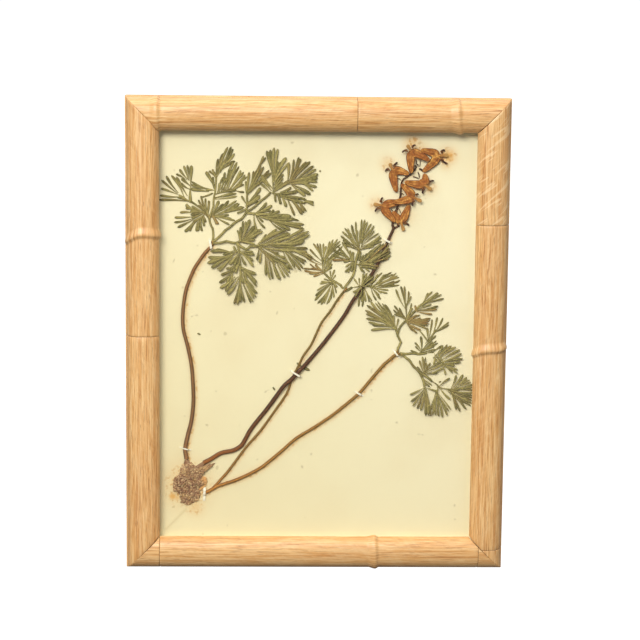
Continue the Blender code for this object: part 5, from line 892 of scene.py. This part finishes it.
def blades(name, lobes, base_lift, fill, seed, brown=(), over=0.0):
    """Blades for one branch: a finger is slim at its foot, widest near the tip, and bluntly round.

    The middle line bows a little, the blade is a thin lens across, and its rim dips to the sheet.
    Where it crosses the flower stalk it climbs by `over` mm, so that it drapes on the stem.
    """
    rng = np.random.default_rng(seed)
    is_brown = np.zeros(len(lobes))
    is_brown[list(brown)] = rng.uniform(0.2, 0.75, len(brown))
    base, tip, width, is_stalk, lobe = fingers(lobes, fill)
    share = np.linspace(0, 1, BLADE_ROWS) ** 0.9
    rise = BLADE_FOOT + (1 - BLADE_FOOT) * np.sin(np.clip(share / LOBE_SHOULDER, 0, 1) * np.pi / 2) ** 2.1
    past = (share - LOBE_SHOULDER) / (ROUND_END - LOBE_SHOULDER)
    swell = np.where(share < LOBE_SHOULDER, rise, np.sqrt(np.clip(1 - past**2, 0, 1)))
    swell = np.where(is_stalk[:, None], np.where(share < STALK_END, 1.0, 0.4), swell)
    along = tip - base
    reach = np.linalg.norm(along, axis=1)
    side = np.column_stack([-along[:, 1], along[:, 0]]) / reach[:, None]
    bow = rng.uniform(-BOW, BOW, len(lobe)) * reach
    line = base[:, None] + along[:, None] * share[None, :, None]
    line = line + side[:, None] * (bow[:, None] * np.sin(np.pi * share))[:, :, None]
    half = width[:, None] / 2 * swell
    flat = line[:, :, None] + side[:, None, None] * (half[:, :, None] * ACROSS)[..., None]
    lift = base_lift + rng.uniform(0.0, 0.14, len(lobe))
    from_stalk = distance_to(line.reshape(-1, 2), on_sheet(np.array(FLOWER_STALK)[:, :2]))
    climb = over * np.exp(-np.clip(from_stalk.reshape(half.shape) / CLIMB_REACH, 0, 9) ** 4)
    body = 0.4 + 0.6 * np.minimum(1, swell * 1.2)
    height = (lift[:, None] + climb)[:, :, None] + LEAF_THICKNESS * FRONT * body[:, :, None]
    rim = np.broadcast_to(np.maximum(np.abs(ACROSS), (share**6)[:, None]), height.shape)
    tone = np.broadcast_to(rng.uniform(0.0, 0.3, len(lobe))[:, None, None], height.shape)
    browned = np.broadcast_to(is_brown[lobe][:, None, None], height.shape)
    made = tubes(name, off_sheet(flat, height), LEAF, {"rim": rim, "tone": tone, "brown": browned}, 80.0)
    return made


def leaf_branch(name, lobes, layer, fill, seed, brown=()):
    """The blades of a branch in its layer, in place of its CAD node."""
    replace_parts(blades(name + "_blades", lobes, LEAF_LIFTS[layer], fill, seed, brown), name)


leaf_branch("left_leaf_top", LEFT_LEAF_TOP, 0, FULL_BLADES, 1, (84, 85))
leaf_branch("left_leaf_right", LEFT_LEAF_RIGHT, 1, FULL_BLADES, 2)
leaf_branch("left_leaf_lower", LEFT_LEAF_LOWER, 2, FULL_BLADES, 3)
leaf_branch("middle_leaf_left", MIDDLE_LEAF_LEFT, 0, SLIM_BLADES, 4, range(4, 12))
leaf_branch("middle_leaf_top", MIDDLE_LEAF_TOP, 1, SLIM_BLADES, 5, (28,))
leaf_branch("middle_leaf_right", MIDDLE_LEAF_RIGHT, 0, SLIM_BLADES, 6)
leaf_branch("right_leaf_top", RIGHT_LEAF_TOP, 1, SLIM_BLADES, 7, range(44, 56))
leaf_branch("right_leaf_right", RIGHT_LEAF_RIGHT, 0, SLIM_BLADES, 8)
leaf_branch("right_leaf_lower", RIGHT_LEAF_LOWER, 2, SLIM_BLADES, 9)

OVER_STALK = [
    (366, 262, 386.6, 242.6, 3.6), (369, 263, 388.8, 244.8, 3.2), (371, 262, 389.6, 248, 3.4),
    (372, 262.4, 390.8, 251.4, 3.4), (373, 262.6, 390.6, 254.6, 3.6), (374, 261.4, 388.4, 258.2, 3.0),
    (366, 259, 380.8, 243.6, 3.4), (368.6, 258.4, 383.6, 242.8, 3.2), (361.6, 264.2, 379, 265.6, 2.6),
    (360.8, 266, 376.4, 268.2, 2.4), (361.4, 285.6, 370.4, 274.4, 3.4), (362, 285.8, 373.2, 275.8, 3.4),
    (362.4, 286.2, 376, 278.2, 3.2), (361, 285.6, 366.8, 274.2, 3.2), (360.6, 285.2, 363, 273, 3.0),
    (361, 286.4, 352.8, 291.8, 2.4), (361, 286.6, 354.6, 296, 3.0), (361.6, 286.8, 359.4, 297.6, 3.0),
]
blades("blades_over_stalk", OVER_STALK, OVER_LIFT, SLIM_BLADES, 10, (0, 2, 5, 8), OVER_CLIMB)


# Stalks: four pressed stems, round once and now oval, ribbed lengthwise. The flower stalk is a dark
# purple brown, tan by the root, and the leaf stalks are brown to tan. Each is painted lighter along
# its middle as a highlight and darker at its sides as shade.
STALK_SIDES = 16
RIPPLE = 0.05
MIDDLE_FOOT = [(213.2, 487.4, 0.15), (216.4, 483.9, 0.25)]
MIDDLE_FORK = [(345.6, 289.4, 0.3)]


def smooth_route(points, per_run=6):
    """A Catmull-Rom curve through the points, with the same number of steps in each run."""
    points = np.array(points, float)
    ends = np.concatenate([[2 * points[0] - points[1]], points, [2 * points[-1] - points[-2]]])
    t = np.linspace(0, 1, per_run, endpoint=False)[None, :, None]
    a, b, c, d = (ends[k:len(ends) - 3 + k][:, None] for k in range(4))
    curve = 0.5 * (2 * b + (c - a) * t + (2 * a - 5 * b + 4 * c - d) * t**2 + (3 * b - a - 3 * c + d) * t**3)
    return np.concatenate([curve.reshape(-1, points.shape[1]), points[-1:]])


def half_widths(widths_px, share):
    """Half the width in mm at each share of the length, by straight runs between the given widths."""
    return np.interp(share, np.linspace(0, 1, len(widths_px)), widths_px) * MM_PER_PIXEL / 2


def stalk_material(name, root_end, middle, far_end, centre, edge):
    """A dried stem: its tone runs along it, with fine ribs lengthwise, a painted highlight along its
    middle in the centre colour, and painted shade at its sides in the edge colour.
    """
    made, nodes, shader = new_material(name, 0.66, Specular_IOR_Level=0.3)
    mottle = nodes.noise(nodes.place(), 420.0, 4.0, 0.6)
    colour = nodes.ramp(nodes.attribute("along"), [(0.0, root_end), (0.22, middle), (1.0, far_end)])
    from_middle = nodes.math("ADD", nodes.attribute("rim"), nodes.math("MULTIPLY", mottle, 0.5))
    # Painted highlight: the centre colour lies along the middle of the stem.
    colour = nodes.mix(nodes.mask(from_middle, 0.25, 0.6, 0.5, 0), colour, centre)
    # Painted shade: the sides of the stem darken to the edge colour.
    colour = nodes.mix(rim_shade(nodes, 0.45, 0.9, 0.85), colour, edge)
    nodes.feed(shader.inputs["Base Color"], colour)
    bump(nodes, shader, nodes.math("ADD", mottle, nodes.attribute("rib")), 0.4, 0.0002)
    return made


def stalk(name, node, route, widths_px, height, finish):
    """An oval tube along the route: width varies evenly, and ribs ripple round it."""
    path = smooth_route(route)
    line = on_sheet(path[:, :2])
    heading = np.gradient(line, axis=0)
    heading /= np.linalg.norm(heading, axis=1)[:, None]
    side = np.column_stack([-heading[:, 1], heading[:, 0]])
    share = np.linspace(0, 1, len(path))
    half = half_widths(widths_px, share)
    rise = height * np.sqrt(half / half.max())
    angle = np.linspace(0, 2 * np.pi, STALK_SIDES, endpoint=False)
    ripple = 1 + RIPPLE * np.sin(angle * 5 + 0.7)
    across = np.cos(angle) * ripple
    up = 0.5 * (1 - np.sin(angle) * ripple)
    flat = line[:, None] + side[:, None] * (half[:, None] * across)[..., None]
    grid = off_sheet(flat, path[:, 2:3] + rise[:, None] * up)[None]
    shape = grid.shape[:3]
    values = {"along": np.broadcast_to(share[:, None], shape), "rim": np.broadcast_to(np.abs(across), shape),
              "rib": np.broadcast_to(np.sin(angle * 8), shape)}
    made = tubes(name, grid, finish, values, 80.0)
    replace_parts(made, node)


# The last two colours of each stalk finish are its painted highlight and its painted shade.
BROWN_STALK = stalk_material("brown_stalk", srgb(142, 100, 62), srgb(112, 78, 44), srgb(135, 89, 44),
                             srgb(166, 119, 63), srgb(82, 47, 21))
TAN_STALK = stalk_material("tan_stalk", srgb(189, 125, 49), srgb(157, 104, 40), srgb(130, 100, 39),
                           srgb(198, 140, 59), srgb(91, 55, 18))
DARK_STALK = stalk_material("dark_stalk", srgb(158, 94, 33), srgb(81, 46, 14), srgb(61, 36, 12),
                            srgb(109, 66, 26), srgb(43, 23, 6))
OLIVE_STALK = stalk_material("olive_stalk", srgb(192, 121, 49), srgb(140, 99, 42), srgb(100, 91, 36),
                             srgb(174, 132, 58), srgb(88, 63, 23))
stalk("left_petiole", "left_leaf_stalk", LEFT_STALK[::-1], (4.4, 3.6, 3.4, 3.2, 3.0), 1.3, BROWN_STALK)
stalk("middle_petiole", "middle_leaf_stalk", MIDDLE_FOOT + MIDDLE_STALK + MIDDLE_FORK,
      (2.6, 2.2, 2.0, 2.0), 0.8, OLIVE_STALK)
stalk("right_petiole", "right_leaf_stalk", RIGHT_STALK, (3.2, 3.0, 2.6, 2.8), 1.2, TAN_STALK)
stalk("flower_scape", "flower_stalk", FLOWER_STALK, (4.4, 4.2, 4.0, 3.6, 3.0, 2.2, 1.6), 1.2, DARK_STALK)


# Root cluster: a flattened knot of scaly bulblets and dead leaf bases, grey brown, with an orange
# scale on its right and torn leaf bases that point up beside the stalks. A domed mass carries the
# scales, which are scattered over it.
ROOT_CENTRE = np.array((191.0, 482.0))
ROOT_OUTLINE = [
    (184.9, 461.4), (191.3, 461.4), (195.7, 465), (203, 466.4), (209.4, 464.4), (215.4, 462.8),
    (205, 471.4), (202.6, 475.6), (207, 478.6), (206.6, 483.4), (199.5, 486.5), (200.4, 493.8),
    (197, 500.2), (188.7, 504.6), (181.7, 500.8), (179, 493.8), (173.4, 489.3), (172.8, 482.3),
    (175.3, 476), (179, 474), (181, 467),
]
ROOT_ORANGE = (204.2, 479.6)
ROOT_ROWS = 40
ROOT_UNDERSIDE = (0.97, 0.6, 0.05)
NOISE_TABLE = 64
SCALE_COUNT = 210
TUBE_SIDES = 28


def value_noise(x, z, size, seed):
    """Smooth random heights from 0 to 1, a new one every `size` mm, blended between neighbours."""
    table = np.random.default_rng(seed).random((NOISE_TABLE, NOISE_TABLE))
    i, j = np.floor(x / size).astype(int), np.floor(z / size).astype(int)
    a, b = x / size - i, z / size - j
    a, b = a * a * (3 - 2 * a), b * b * (3 - 2 * b)
    corner = [[table[(i + u) % NOISE_TABLE, (j + v) % NOISE_TABLE] for u in (0, 1)] for v in (0, 1)]
    near, far = (low * (1 - a) + high * a for low, high in corner)
    return near * (1 - b) + far * b


def root_material():
    """Dry scale and bark: grey brown crumbs, dark in the hollows, orange by the one fresh scale."""
    made, nodes, shader = new_material("dried_root", 0.95, Specular_IOR_Level=0.15)
    place = nodes.place()
    crumb = nodes.noise(place, 620.0, 5.0, 0.75, 1.2)
    patch = nodes.noise(place, 210.0, 3.0, 0.6)
    colour = nodes.ramp(crumb, [(0.38, srgb(98, 64, 42)), (0.48, srgb(172, 128, 86)),
                                (0.60, srgb(244, 212, 154))])
    colour = nodes.mix(nodes.mask(patch, 0.45, 0.62, 0, 0.5), colour, srgb(190, 152, 92))
    colour = nodes.mix(nodes.attribute("shade"), colour, srgb(138, 98, 82))
    colour = nodes.mix(rim_shade(nodes, 0.6, 1.0, 0.75), colour, srgb(100, 66, 44))
    colour = nodes.mix(nodes.attribute("orange"), colour, srgb(228, 172, 104))
    nodes.feed(shader.inputs["Base Color"], colour)
    bump(nodes, shader, crumb, 0.8, 0.0005)
    return made


ROOT = root_material()


def flat_tube(start, end, widths_px, bow, base_lift, depth, rows):
    """A flattened tube from start to end by pixel: its width follows the given ones, its line bows.

    Returns the grid and, for each of its points, how near the rim, how far along, and a streak.
    """
    first, last = on_sheet([start, end])
    way = last - first
    side = np.array([-way[1], way[0]]) / np.linalg.norm(way)
    share = np.linspace(0, 1, rows)
    close = np.sqrt(np.clip(1 - (2 * share - 1) ** 12, 0.0004, 1))
    half = half_widths(widths_px, share) * close
    line = first + way * share[:, None] + side * (bow * MM_PER_PIXEL * np.sin(np.pi * share))[:, None]
    angle = np.linspace(0, 2 * np.pi, TUBE_SIDES, endpoint=False)
    flat = line[:, None] + side * (half[:, None] * np.cos(angle))[..., None]
    lift = base_lift + depth / 2 * (1 - np.sin(angle) * close[:, None])
    streak = 0.5 + 0.5 * np.sin(np.cos(angle) * 9 + share[:, None] * 3 + np.sin(share[:, None] * 7))
    rim, along = np.broadcast_arrays(np.abs(np.cos(angle)), share[:, None])
    return off_sheet(flat, lift), rim, along, streak


def stacked(parts):
    """The flat tubes as four arrays with one row for each tube: grid, rim, along and streak."""
    return (np.stack(arrays) for arrays in zip(*parts))


root_centre = on_sheet([ROOT_CENTRE])[0]
orange_spot = on_sheet([ROOT_ORANGE])[0]
outline = on_sheet(smooth_route(ROOT_OUTLINE + ROOT_OUTLINE[:1], 8)[:-1])
ragged = 1 + 0.10 * (value_noise(outline[:, 0], outline[:, 1], 0.9, 20) - 0.6)
outline = root_centre + (outline - root_centre) * ragged[:, None]
reach = np.concatenate([np.linspace(0.02, 1.0, ROOT_ROWS), ROOT_UNDERSIDE])
under = (np.arange(len(reach)) >= ROOT_ROWS)[:, None]
root_flat = root_centre + (outline - root_centre)[None] * reach[:, None, None]
grit = value_noise(root_flat[..., 0], root_flat[..., 1], 0.45, 21) - 0.5
bulb = value_noise(root_flat[..., 0], root_flat[..., 1], 2.4, 22)
dome = np.sqrt(np.clip(1 - reach**2.2, 0, 1))[:, None]
root_lift = np.where(under, 0.3, 0.35 + dome * (0.7 + 1.2 * bulb) + 0.7 * grit * np.minimum(1, dome * 3))
orange = 0.9 * bell(np.linalg.norm(root_flat - orange_spot, axis=2), 1.7)[None]
values = {"orange": orange, "shade": (grit[None] < 0) * 0.5, "rim": np.zeros(orange.shape)}
root = tubes("root_mass", off_sheet(root_flat, root_lift)[None], ROOT, values, 60.0)
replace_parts(root, "root_cluster")

rng = np.random.default_rng(31)
small_scales = []
outline_px = np.array(ROOT_OUTLINE)
for _ in range(SCALE_COUNT):
    corner = rng.integers(len(outline_px))
    following = (corner + 1) % len(outline_px)
    rim_place = outline_px[corner] + (outline_px[following] - outline_px[corner]) * rng.random()
    share = np.sqrt(rng.random()) * 0.97
    heading = rim_place - ROOT_CENTRE
    angle = np.arctan2(heading[1], heading[0]) + rng.normal(0, 0.7)
    length = rng.uniform(1.6, 4.2) * (1.1 - 0.5 * share)
    size = rng.uniform(0.7, 1.5) * (1.15 - 0.5 * share)
    step = length / 2 * np.array([np.cos(angle), np.sin(angle)])
    spot = ROOT_CENTRE + heading * share
    lift = 0.3 + 1.75 * np.sqrt(1 - share**2) * rng.uniform(0.7, 1.05)
    small_scales.append(flat_tube(spot - step, spot + step, [size * k for k in (0.6, 1.7, 1.5, 0.4)],
                                  rng.uniform(-0.5, 0.5), lift, 0.42, 7))
# Leaf bases and bulblets by start, end and widths in pixels, bow, lift and depth
LEAF_BASES = [
    ((193, 476), (215.6, 462.4), [5, 5.5, 4.5, 3.2, 1.6, 0.6], 0.8, 0.32, 0.45),
    ((190, 474), (211, 462.2), [4.5, 4.8, 3.8, 2.6, 1.0], -0.6, 0.5, 0.45),
    ((192, 480), (204, 470.5), [4, 4.2, 3.4, 1.6], 0.6, 0.7, 0.45),
    ((187.5, 480), (187.0, 458.2), [6, 5.8, 6.0, 6.2, 4.6], 0.4, 0.34, 0.45),
    ((196, 468), (206.4, 460.6), [4, 4.4, 4.0, 3.8], -0.3, 0.4, 0.45),
    ((190, 478), (190.6, 461.6), [3, 3.2, 2.4, 2.0], -0.4, 0.62, 0.45),
    ((184.5, 480), (183.6, 464.4), [3, 3.0, 2.0, 1.6], -0.8, 0.55, 0.45),
    ((184, 482), (173.2, 490.6), [3, 4, 4, 2.6], 0.5, 0.5, 0.45),
    ((186, 498), (180.4, 502.2), [3, 3, 1.2], 0.4, 0.4, 0.45),
    ((194, 499), (199.4, 499.2), [3, 2.6, 1.0], -0.4, 0.4, 0.45),
]
ORANGE_SCALES = [
    ((197.6, 480.4), (207.3, 480.6), [4, 6.5, 8.4, 8.2, 7.0], 0.5, 0.5, 0.5),
    ((199.4, 489.6), (206.6, 484.6), [2, 2.6, 2.0, 0.8], 0.5, 0.45, 0.4),
]
middles = np.array([part[0].mean((0, 1))[[0, 2]] for part in small_scales])
small_glow = 0.9 * bell(np.linalg.norm(middles - orange_spot, axis=1), 1.6)
large_glow = np.array([0.0] * len(LEAF_BASES) + [0.85] * len(ORANGE_SCALES))
large_scales = [flat_tube(*base, 14) for base in LEAF_BASES + ORANGE_SCALES]
for name, part, glow in (("root_scales_7", small_scales, small_glow),
                         ("root_scales_14", large_scales, large_glow)):
    grid, rim, along, streak = stacked(part)
    shade = rng.uniform(0.0, 0.45, len(part))[:, None, None] + streak * 0.15
    values = {"rim": rim, "shade": shade, "orange": np.broadcast_to(glow[:, None, None], rim.shape)}
    tubes(name, grid, ROOT, values, 80.0)


# Flowers: seven two-spurred blooms, pressed and dried to an orange brown. Two broad spurs part from
# the tip, where a yellow knob stands between two dark curled petal ends.
FLOWER_LIFTS = (1.25, 2.15, 3.05)
FLOWER_DEPTH = 0.55
FLOWER_ROWS = 18
TIP_DEPTH = 0.45
KNOB_DEPTH = 0.5
SPUR_WIDTH = 9.2
SPUR_PX = [SPUR_WIDTH * k for k in (0.5, 0.86, 0.97, 0.9, 0.78, 0.66, 0.54, 0.38)]
SPUR_BOW = 0.5
CROTCH_PX = [5.5, 8.5, 9.5, 8.5, 6.5, 3.5]
KNOB_PX = [2.4, 2.6, 2.6, 2.8, 3.6, 3.8, 2.6]
TIP_PX = [3.8, 3.0, 2.4, 2.0, 1.9, 2.0, 1.5]
# By pixel: body, knob, two curled petal ends, two spur tips, and the layer of the pressed pile
FLOWERS = {
    "flower_1": ((409.6, 149), (407.1, 145.1), (415.4, 144.5), (401.4, 152.1),
                 (410.9, 173.2), (429.4, 160.4), 2),
    "flower_2": ((440.5, 155.2), (447.3, 155.3), (444.7, 149.6), (447.3, 163.6),
                 (420.5, 149.6), (422.4, 171.9), 0),
    "flower_3": ((391.6, 168.1), (389.9, 163.6), (397.5, 162), (384.8, 171.3),
                 (396.3, 192.3), (409, 173.8), 0),
    "flower_4": ((425.6, 185.6), (430.7, 189.1), (433.9, 180.2), (422.4, 193.6),
                 (424.3, 173.2), (403.9, 181.5), 1),
    "flower_5": ((414.8, 197.6), (420.5, 200.6), (418.6, 193.6), (412.2, 205.7),
                 (400.7, 183.4), (392.4, 202), 2),
    "flower_6": ((380.4, 204.8), (373.9, 203.8), (382.9, 196.8), (374.6, 211.4),
                 (404.5, 201.2), (395, 221.6), 1),
    "flower_7": ((401.4, 223.6), (403.3, 229.9), (409, 225.5), (397, 226),
                 (409, 203.8), (392.4, 210.8), 0),
}


def flower_material():
    """Papery petal: streaked orange brown, dark at the rim and in folds, black at the curled ends."""
    made, nodes, shader = new_material("dried_flower", 0.74, Specular_IOR_Level=0.25)
    place = nodes.place()
    mottle = nodes.noise(place, 420.0, 4.0, 0.65)
    fold = nodes.noise(place, 130.0, 2.0, 0.5)
    streak = nodes.attribute("streak")
    colour = nodes.ramp(mottle, [(0.34, srgb(122, 70, 22)), (0.5, srgb(190, 122, 48)),
                                 (0.66, srgb(242, 182, 90))])
    colour = nodes.mix(nodes.mask(streak, 0.35, 0.7, 0.5, 0), colour, srgb(132, 70, 20))
    colour = nodes.mix(nodes.mask(fold, 0.42, 0.6, 0.5, 0), colour, srgb(149, 79, 28))
    colour = nodes.mix(rim_shade(nodes, 0.68, 0.98, 0.85), colour, srgb(97, 48, 14))
    colour = nodes.mix(nodes.attribute("dark"), colour, srgb(66, 36, 17))
    colour = nodes.mix(nodes.attribute("pale"), colour, srgb(190, 144, 78))
    nodes.feed(shader.inputs["Base Color"], colour)
    bump(nodes, shader, nodes.math("ADD", mottle, streak), 0.5, 0.0004)
    return made


PETAL = flower_material()


def flower(name, body, knob, tip_one, tip_two, end_one, end_two, layer):
    """Two spurs, the crotch between them, the knob and two curled ends, joined as closed flat tubes.

    Petals darken towards the knob, curled ends towards their tips, and the knob pales outwards.
    """
    lift = FLOWER_LIFTS[layer]
    places = np.array([body, knob, tip_one, tip_two, end_one, end_two])
    body, knob, tip_one, tip_two, end_one, end_two = places
    out = (knob - body) / np.linalg.norm(knob - body)
    spread = np.array([-out[1], out[0]])
    bow = SPUR_BOW * np.sign(np.cross(end_one - body, end_two - body))
    inner = (end_one + end_two) / 2 - body
    inner = inner / np.linalg.norm(inner)
    side_one, side_two = (spread * np.sign(np.dot(tip - knob, spread)) * 2.4 for tip in (tip_one, tip_two))
    parts = [flat_tube(*part, FLOWER_ROWS) for part in (
        (body - out * 1.2, end_one, SPUR_PX, bow, lift, FLOWER_DEPTH),
        (body - out * 1.2, end_two, SPUR_PX, -bow, lift + 0.02, FLOWER_DEPTH),
        (body - out * 0.6, body + inner * 9.0, CROTCH_PX, 0.0, lift + 0.01, FLOWER_DEPTH),
        (body - out * 2.4, knob + out * 0.9, KNOB_PX, 0.0, lift + 0.1, KNOB_DEPTH),
        (body + side_one, tip_one, TIP_PX, 1.0, lift + 0.05, TIP_DEPTH),
        (body + side_two, tip_two, TIP_PX, -1.0, lift + 0.05, TIP_DEPTH))]
    grid, rim, along, streak = stacked(parts)
    is_petal, is_knob, is_tip = (np.array(flags)[:, None, None] for flags in (
        (1, 1, 1, 0, 0, 0), (0, 0, 0, 1, 0, 0), (0, 0, 0, 0, 1, 1)))
    dark = is_tip * np.clip(0.45 + along, 0, 1) + is_petal * 0.6 * np.clip(1 - along * 5, 0, 1)
    values = {"rim": rim, "dark": dark, "pale": is_knob * np.clip(0.1 + along, 0, 0.9), "streak": streak}
    made = tubes(name + "_petals", grid, PETAL, values, 80.0)
    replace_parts(made, name)


for flower_name, flower_places in FLOWERS.items():
    flower(flower_name, *flower_places)

# Short flower stems by start and end in pixels, and width
PEDICEL_LIFT = 0.35
PEDICELS = [
    ((392.6, 229.4), (399.8, 225.6), 1.9), ((394.4, 215.4), (397.4, 206.2), 1.2),
    ((391, 209.2), (394.8, 215.4), 1.0), ((398.1, 207.8), (400, 213.2), 0.8),
    ((400.7, 197.5), (400.3, 187.2), 0.9), ((400.6, 193.2), (403.8, 195), 0.8),
    ((397.4, 178), (400.5, 180.2), 0.9), ((408.7, 175.3), (416.2, 169.2), 1.8),
    ((415.3, 159.2), (416.1, 164.6), 0.9), ((419.6, 159.2), (419.1, 166.8), 0.8),
    ((418.6, 168.4), (423.4, 171.8), 2.0), ((412.3, 176.5), (418.9, 178.9), 1.1),
    ((417.4, 171.4), (419.1, 178.2), 1.2), ((414.3, 165.2), (416.6, 167.8), 1.7),
    ((416.2, 163.8), (418.3, 166.4), 1.5),
]


def stem_pieces(name, pieces, taper, bow, depth, rows, along, finish):
    """Short stems (start, end, width in pixels, lift) as one mesh, at one place of the stalk's tone."""
    grid, rim, share, _ = stacked([flat_tube(start, end, [size * k for k in taper], bow, lift, depth, rows)
                                   for start, end, size, lift in pieces])
    made = tubes(name, grid, finish, {"rim": rim, "along": np.full(share.shape, along)}, 80.0)


stem_pieces("flower_pedicels", [(*piece, PEDICEL_LIFT) for piece in PEDICELS], (0.9, 1.0, 0.9, 0.7),
            0.6, 0.6, 9, 0.6, DARK_STALK)


# Straps and crumbs: seven narrow strips of white gummed paper over the stalks, and a few leaf
# crumbs and forks of the leaf stalks that lie on the sheet.
STRAP_THICKNESS = 0.25
STRAP_LIFT = 0.3
STRAP_ROWS = 40
RAMP_FOOT = 1.1
RAMP_LENGTH = 0.85
STRAP_ACROSS = np.array([-1.0, -0.9, 0.0, 0.9, 1.0, 0.9, 0.0, -0.9])
STRAP_UP = np.array([0.5, 0.0, 0.0, 0.0, 0.5, 1.0, 1.0, 1.0]) * STRAP_THICKNESS
# Start, end and crossing by pixel, the stalk's width there in pixels, its top and the strap's width in mm
STRAPS = {
    "strap_left_leaf": ((209.4, 238.4), (211.8, 250.4), (210.8, 244.9), 5.0, 2.0, 1.4),
    "strap_left_stalk": ((179.6, 446.6), (191.2, 449.6), (185.4, 448.1), 4.4, 1.6, 0.8),
    "strap_root": ((204.7, 486.6), (204.1, 500.2), (204.4, 491.4), 3.4, 1.5, 1.5),
    "strap_crossing": ((290.0, 369.6), (301.6, 376.6), (296.0, 373.2), 7.4, 2.8, 1.1),
    "strap_right_stalk": ((354.4, 390.6), (363.6, 395.8), (358.9, 393.1), 3.4, 1.5, 1.1),
    "strap_right_leaf": ((392.4, 348.8), (399.8, 358.0), (396.2, 353.5), 3.0, 1.9, 1.0),
    "strap_flower_stalk": ((383.2, 238.4), (392.2, 243.2), (387.7, 240.8), 3.4, 2.5, 1.2),
}


def strap_material():
    """White gummed paper with a fine weft."""
    made, nodes, shader = new_material("strap_paper", 0.85, Specular_IOR_Level=0.25)
    _, weft = pressed_fibre(nodes, nodes.place(), 40.0, 900.0)
    colour = nodes.ramp(weft, [(0.3, srgb(238, 228, 198)), (0.7, srgb(250, 243, 218))])
    nodes.feed(shader.inputs["Base Color"], colour)
    bump(nodes, shader, weft, 0.3, 0.0002)
    return made


STRAP = strap_material()


def strap(name, start, end, crossing, stalk_px, stalk_top, width):
    """A thin strip that lies flat at both ends and arches over the stalk on eased ramps."""
    first, last, over = on_sheet([start, end, crossing])
    total = float(np.linalg.norm(last - first))
    way = (last - first) / total
    middle = float(np.dot(over - first, way))
    half = stalk_px * MM_PER_PIXEL / 2
    place = np.linspace(0, total, STRAP_ROWS)
    ramp = np.clip((half + RAMP_FOOT - np.abs(place - middle)) / RAMP_LENGTH, 0, 1)
    lift = STRAP_LIFT + stalk_top * ramp * ramp * (3 - 2 * ramp)
    side = np.array([-way[1], way[0]]) * width / 2
    flat = first + way * place[:, None, None] + side * STRAP_ACROSS[:, None]
    made = tubes(name + "_paper", off_sheet(flat, lift[:, None] + STRAP_UP)[None], STRAP, {}, 40.0)
    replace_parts(made, name)


for strap_name, strap_places in STRAPS.items():
    strap(strap_name, *strap_places)

CRUMBS = [
    (296.5, 362.4, 301.5, 366.4, 2.2), (300.8, 366, 310.2, 370.4, 3.2), (303, 364.6, 306.4, 369.4, 2),
    (272.6, 386.6, 275.2, 390.2, 1.8), (197.2, 333, 200.8, 334.4, 1.7), (319.2, 170.4, 320.9, 171.6, 1.7),
    (438.4, 382, 441.2, 381, 1.4),
]
crumb_grid, crumb_rim, _, _ = stacked([
    flat_tube(crumb[:2], crumb[2:4], [crumb[4] * k for k in (0.5, 1.0, 1.0, 0.4)], 0.0, 0.25, 0.2, 8)
    for crumb in CRUMBS])
crumbs = tubes("leaf_crumbs", crumb_grid, LEAF, {"rim": crumb_rim}, 80.0)

FORKS = [((210.2, 248.0), (213.6, 240.2), 3.4, 0.5), ((394.0, 355.6), (399.8, 352.6), 2.6, 0.45),
         ((396.6, 353.6), (397.6, 349.6), 2.2, 0.5), ((343.4, 291.6), (347.0, 287.2), 2.2, 0.5)]
stem_pieces("leaf_forks", FORKS, (0.8, 0.95, 1.1, 0.9), 0.0, 0.9, 10, 0.4, OLIVE_STALK)


# Studio: a pale floor well below the hanging frame, a white surround, and one large soft light above
# and to the left in front, which leaves the thin shadows of the top and left rails on the sheet.
FLOOR_REACH = 30.0
FLOOR_HEIGHT = -0.9
floor_corners = [(FLOOR_REACH * x, FLOOR_REACH * y, FLOOR_HEIGHT)
                 for x, y in ((-1, -1), (1, -1), (1, 1), (-1, 1))]
floor_mesh = bpy.data.meshes.new("floor")
floor_mesh.from_pydata(floor_corners, [], [(0, 1, 2, 3)])
floor_material, floor_nodes, floor_shader = new_material(
    "pale_floor", 0.9, Base_Color=(0.12, 0.12, 0.12, 1.0), Emission_Color=(1.0, 1.0, 1.0, 1.0))
floor_nodes.feed(floor_shader.inputs["Emission Strength"],
                 floor_nodes.node("ShaderNodeLightPath").outputs["Is Camera Ray"])
floor_mesh.materials.append(floor_material)
floor = bpy.data.objects.new("floor", floor_mesh)
bpy.context.scene.collection.objects.link(floor)

world = bpy.data.worlds.new("studio")
world.use_nodes = True
surround = world.node_tree.nodes["Background"]
surround.inputs["Color"].default_value = (1.0, 1.0, 1.0, 1.0)
world_nodes = Nodes(world.node_tree)
seen = world_nodes.node("ShaderNodeLightPath").outputs["Is Camera Ray"]
outward = world_nodes.node("ShaderNodeTexCoord").outputs["Generated"]
upward = world_nodes.node("ShaderNodeSeparateXYZ", {"Vector": outward}).outputs["Z"]
sky = world_nodes.node("ShaderNodeMapRange", {"Value": upward, "To Min": 0.22, "To Max": 1.5})
brightness = world_nodes.node("ShaderNodeMix", {"Factor": seen, "A": sky.outputs["Result"], "B": 1.05})
world_nodes.feed(surround.inputs["Strength"], brightness.outputs["Result"])
bpy.context.scene.world = world

key_data = bpy.data.lights.new("key", "AREA")
key_data.shape = "RECTANGLE"
key_data.size = 0.7
key_data.size_y = 0.5
key_data.energy = 18.5
key = bpy.data.objects.new("key", key_data)
key.location = (-0.42, -1.25, 0.6)
key.rotation_euler = (Vector((0.0, 0.0, CENTRE_Z * MM)) - key.location).to_track_quat("-Z", "Y").to_euler()
bpy.context.scene.collection.objects.link(key)
bpy.context.scene.view_settings.view_transform = "Standard"
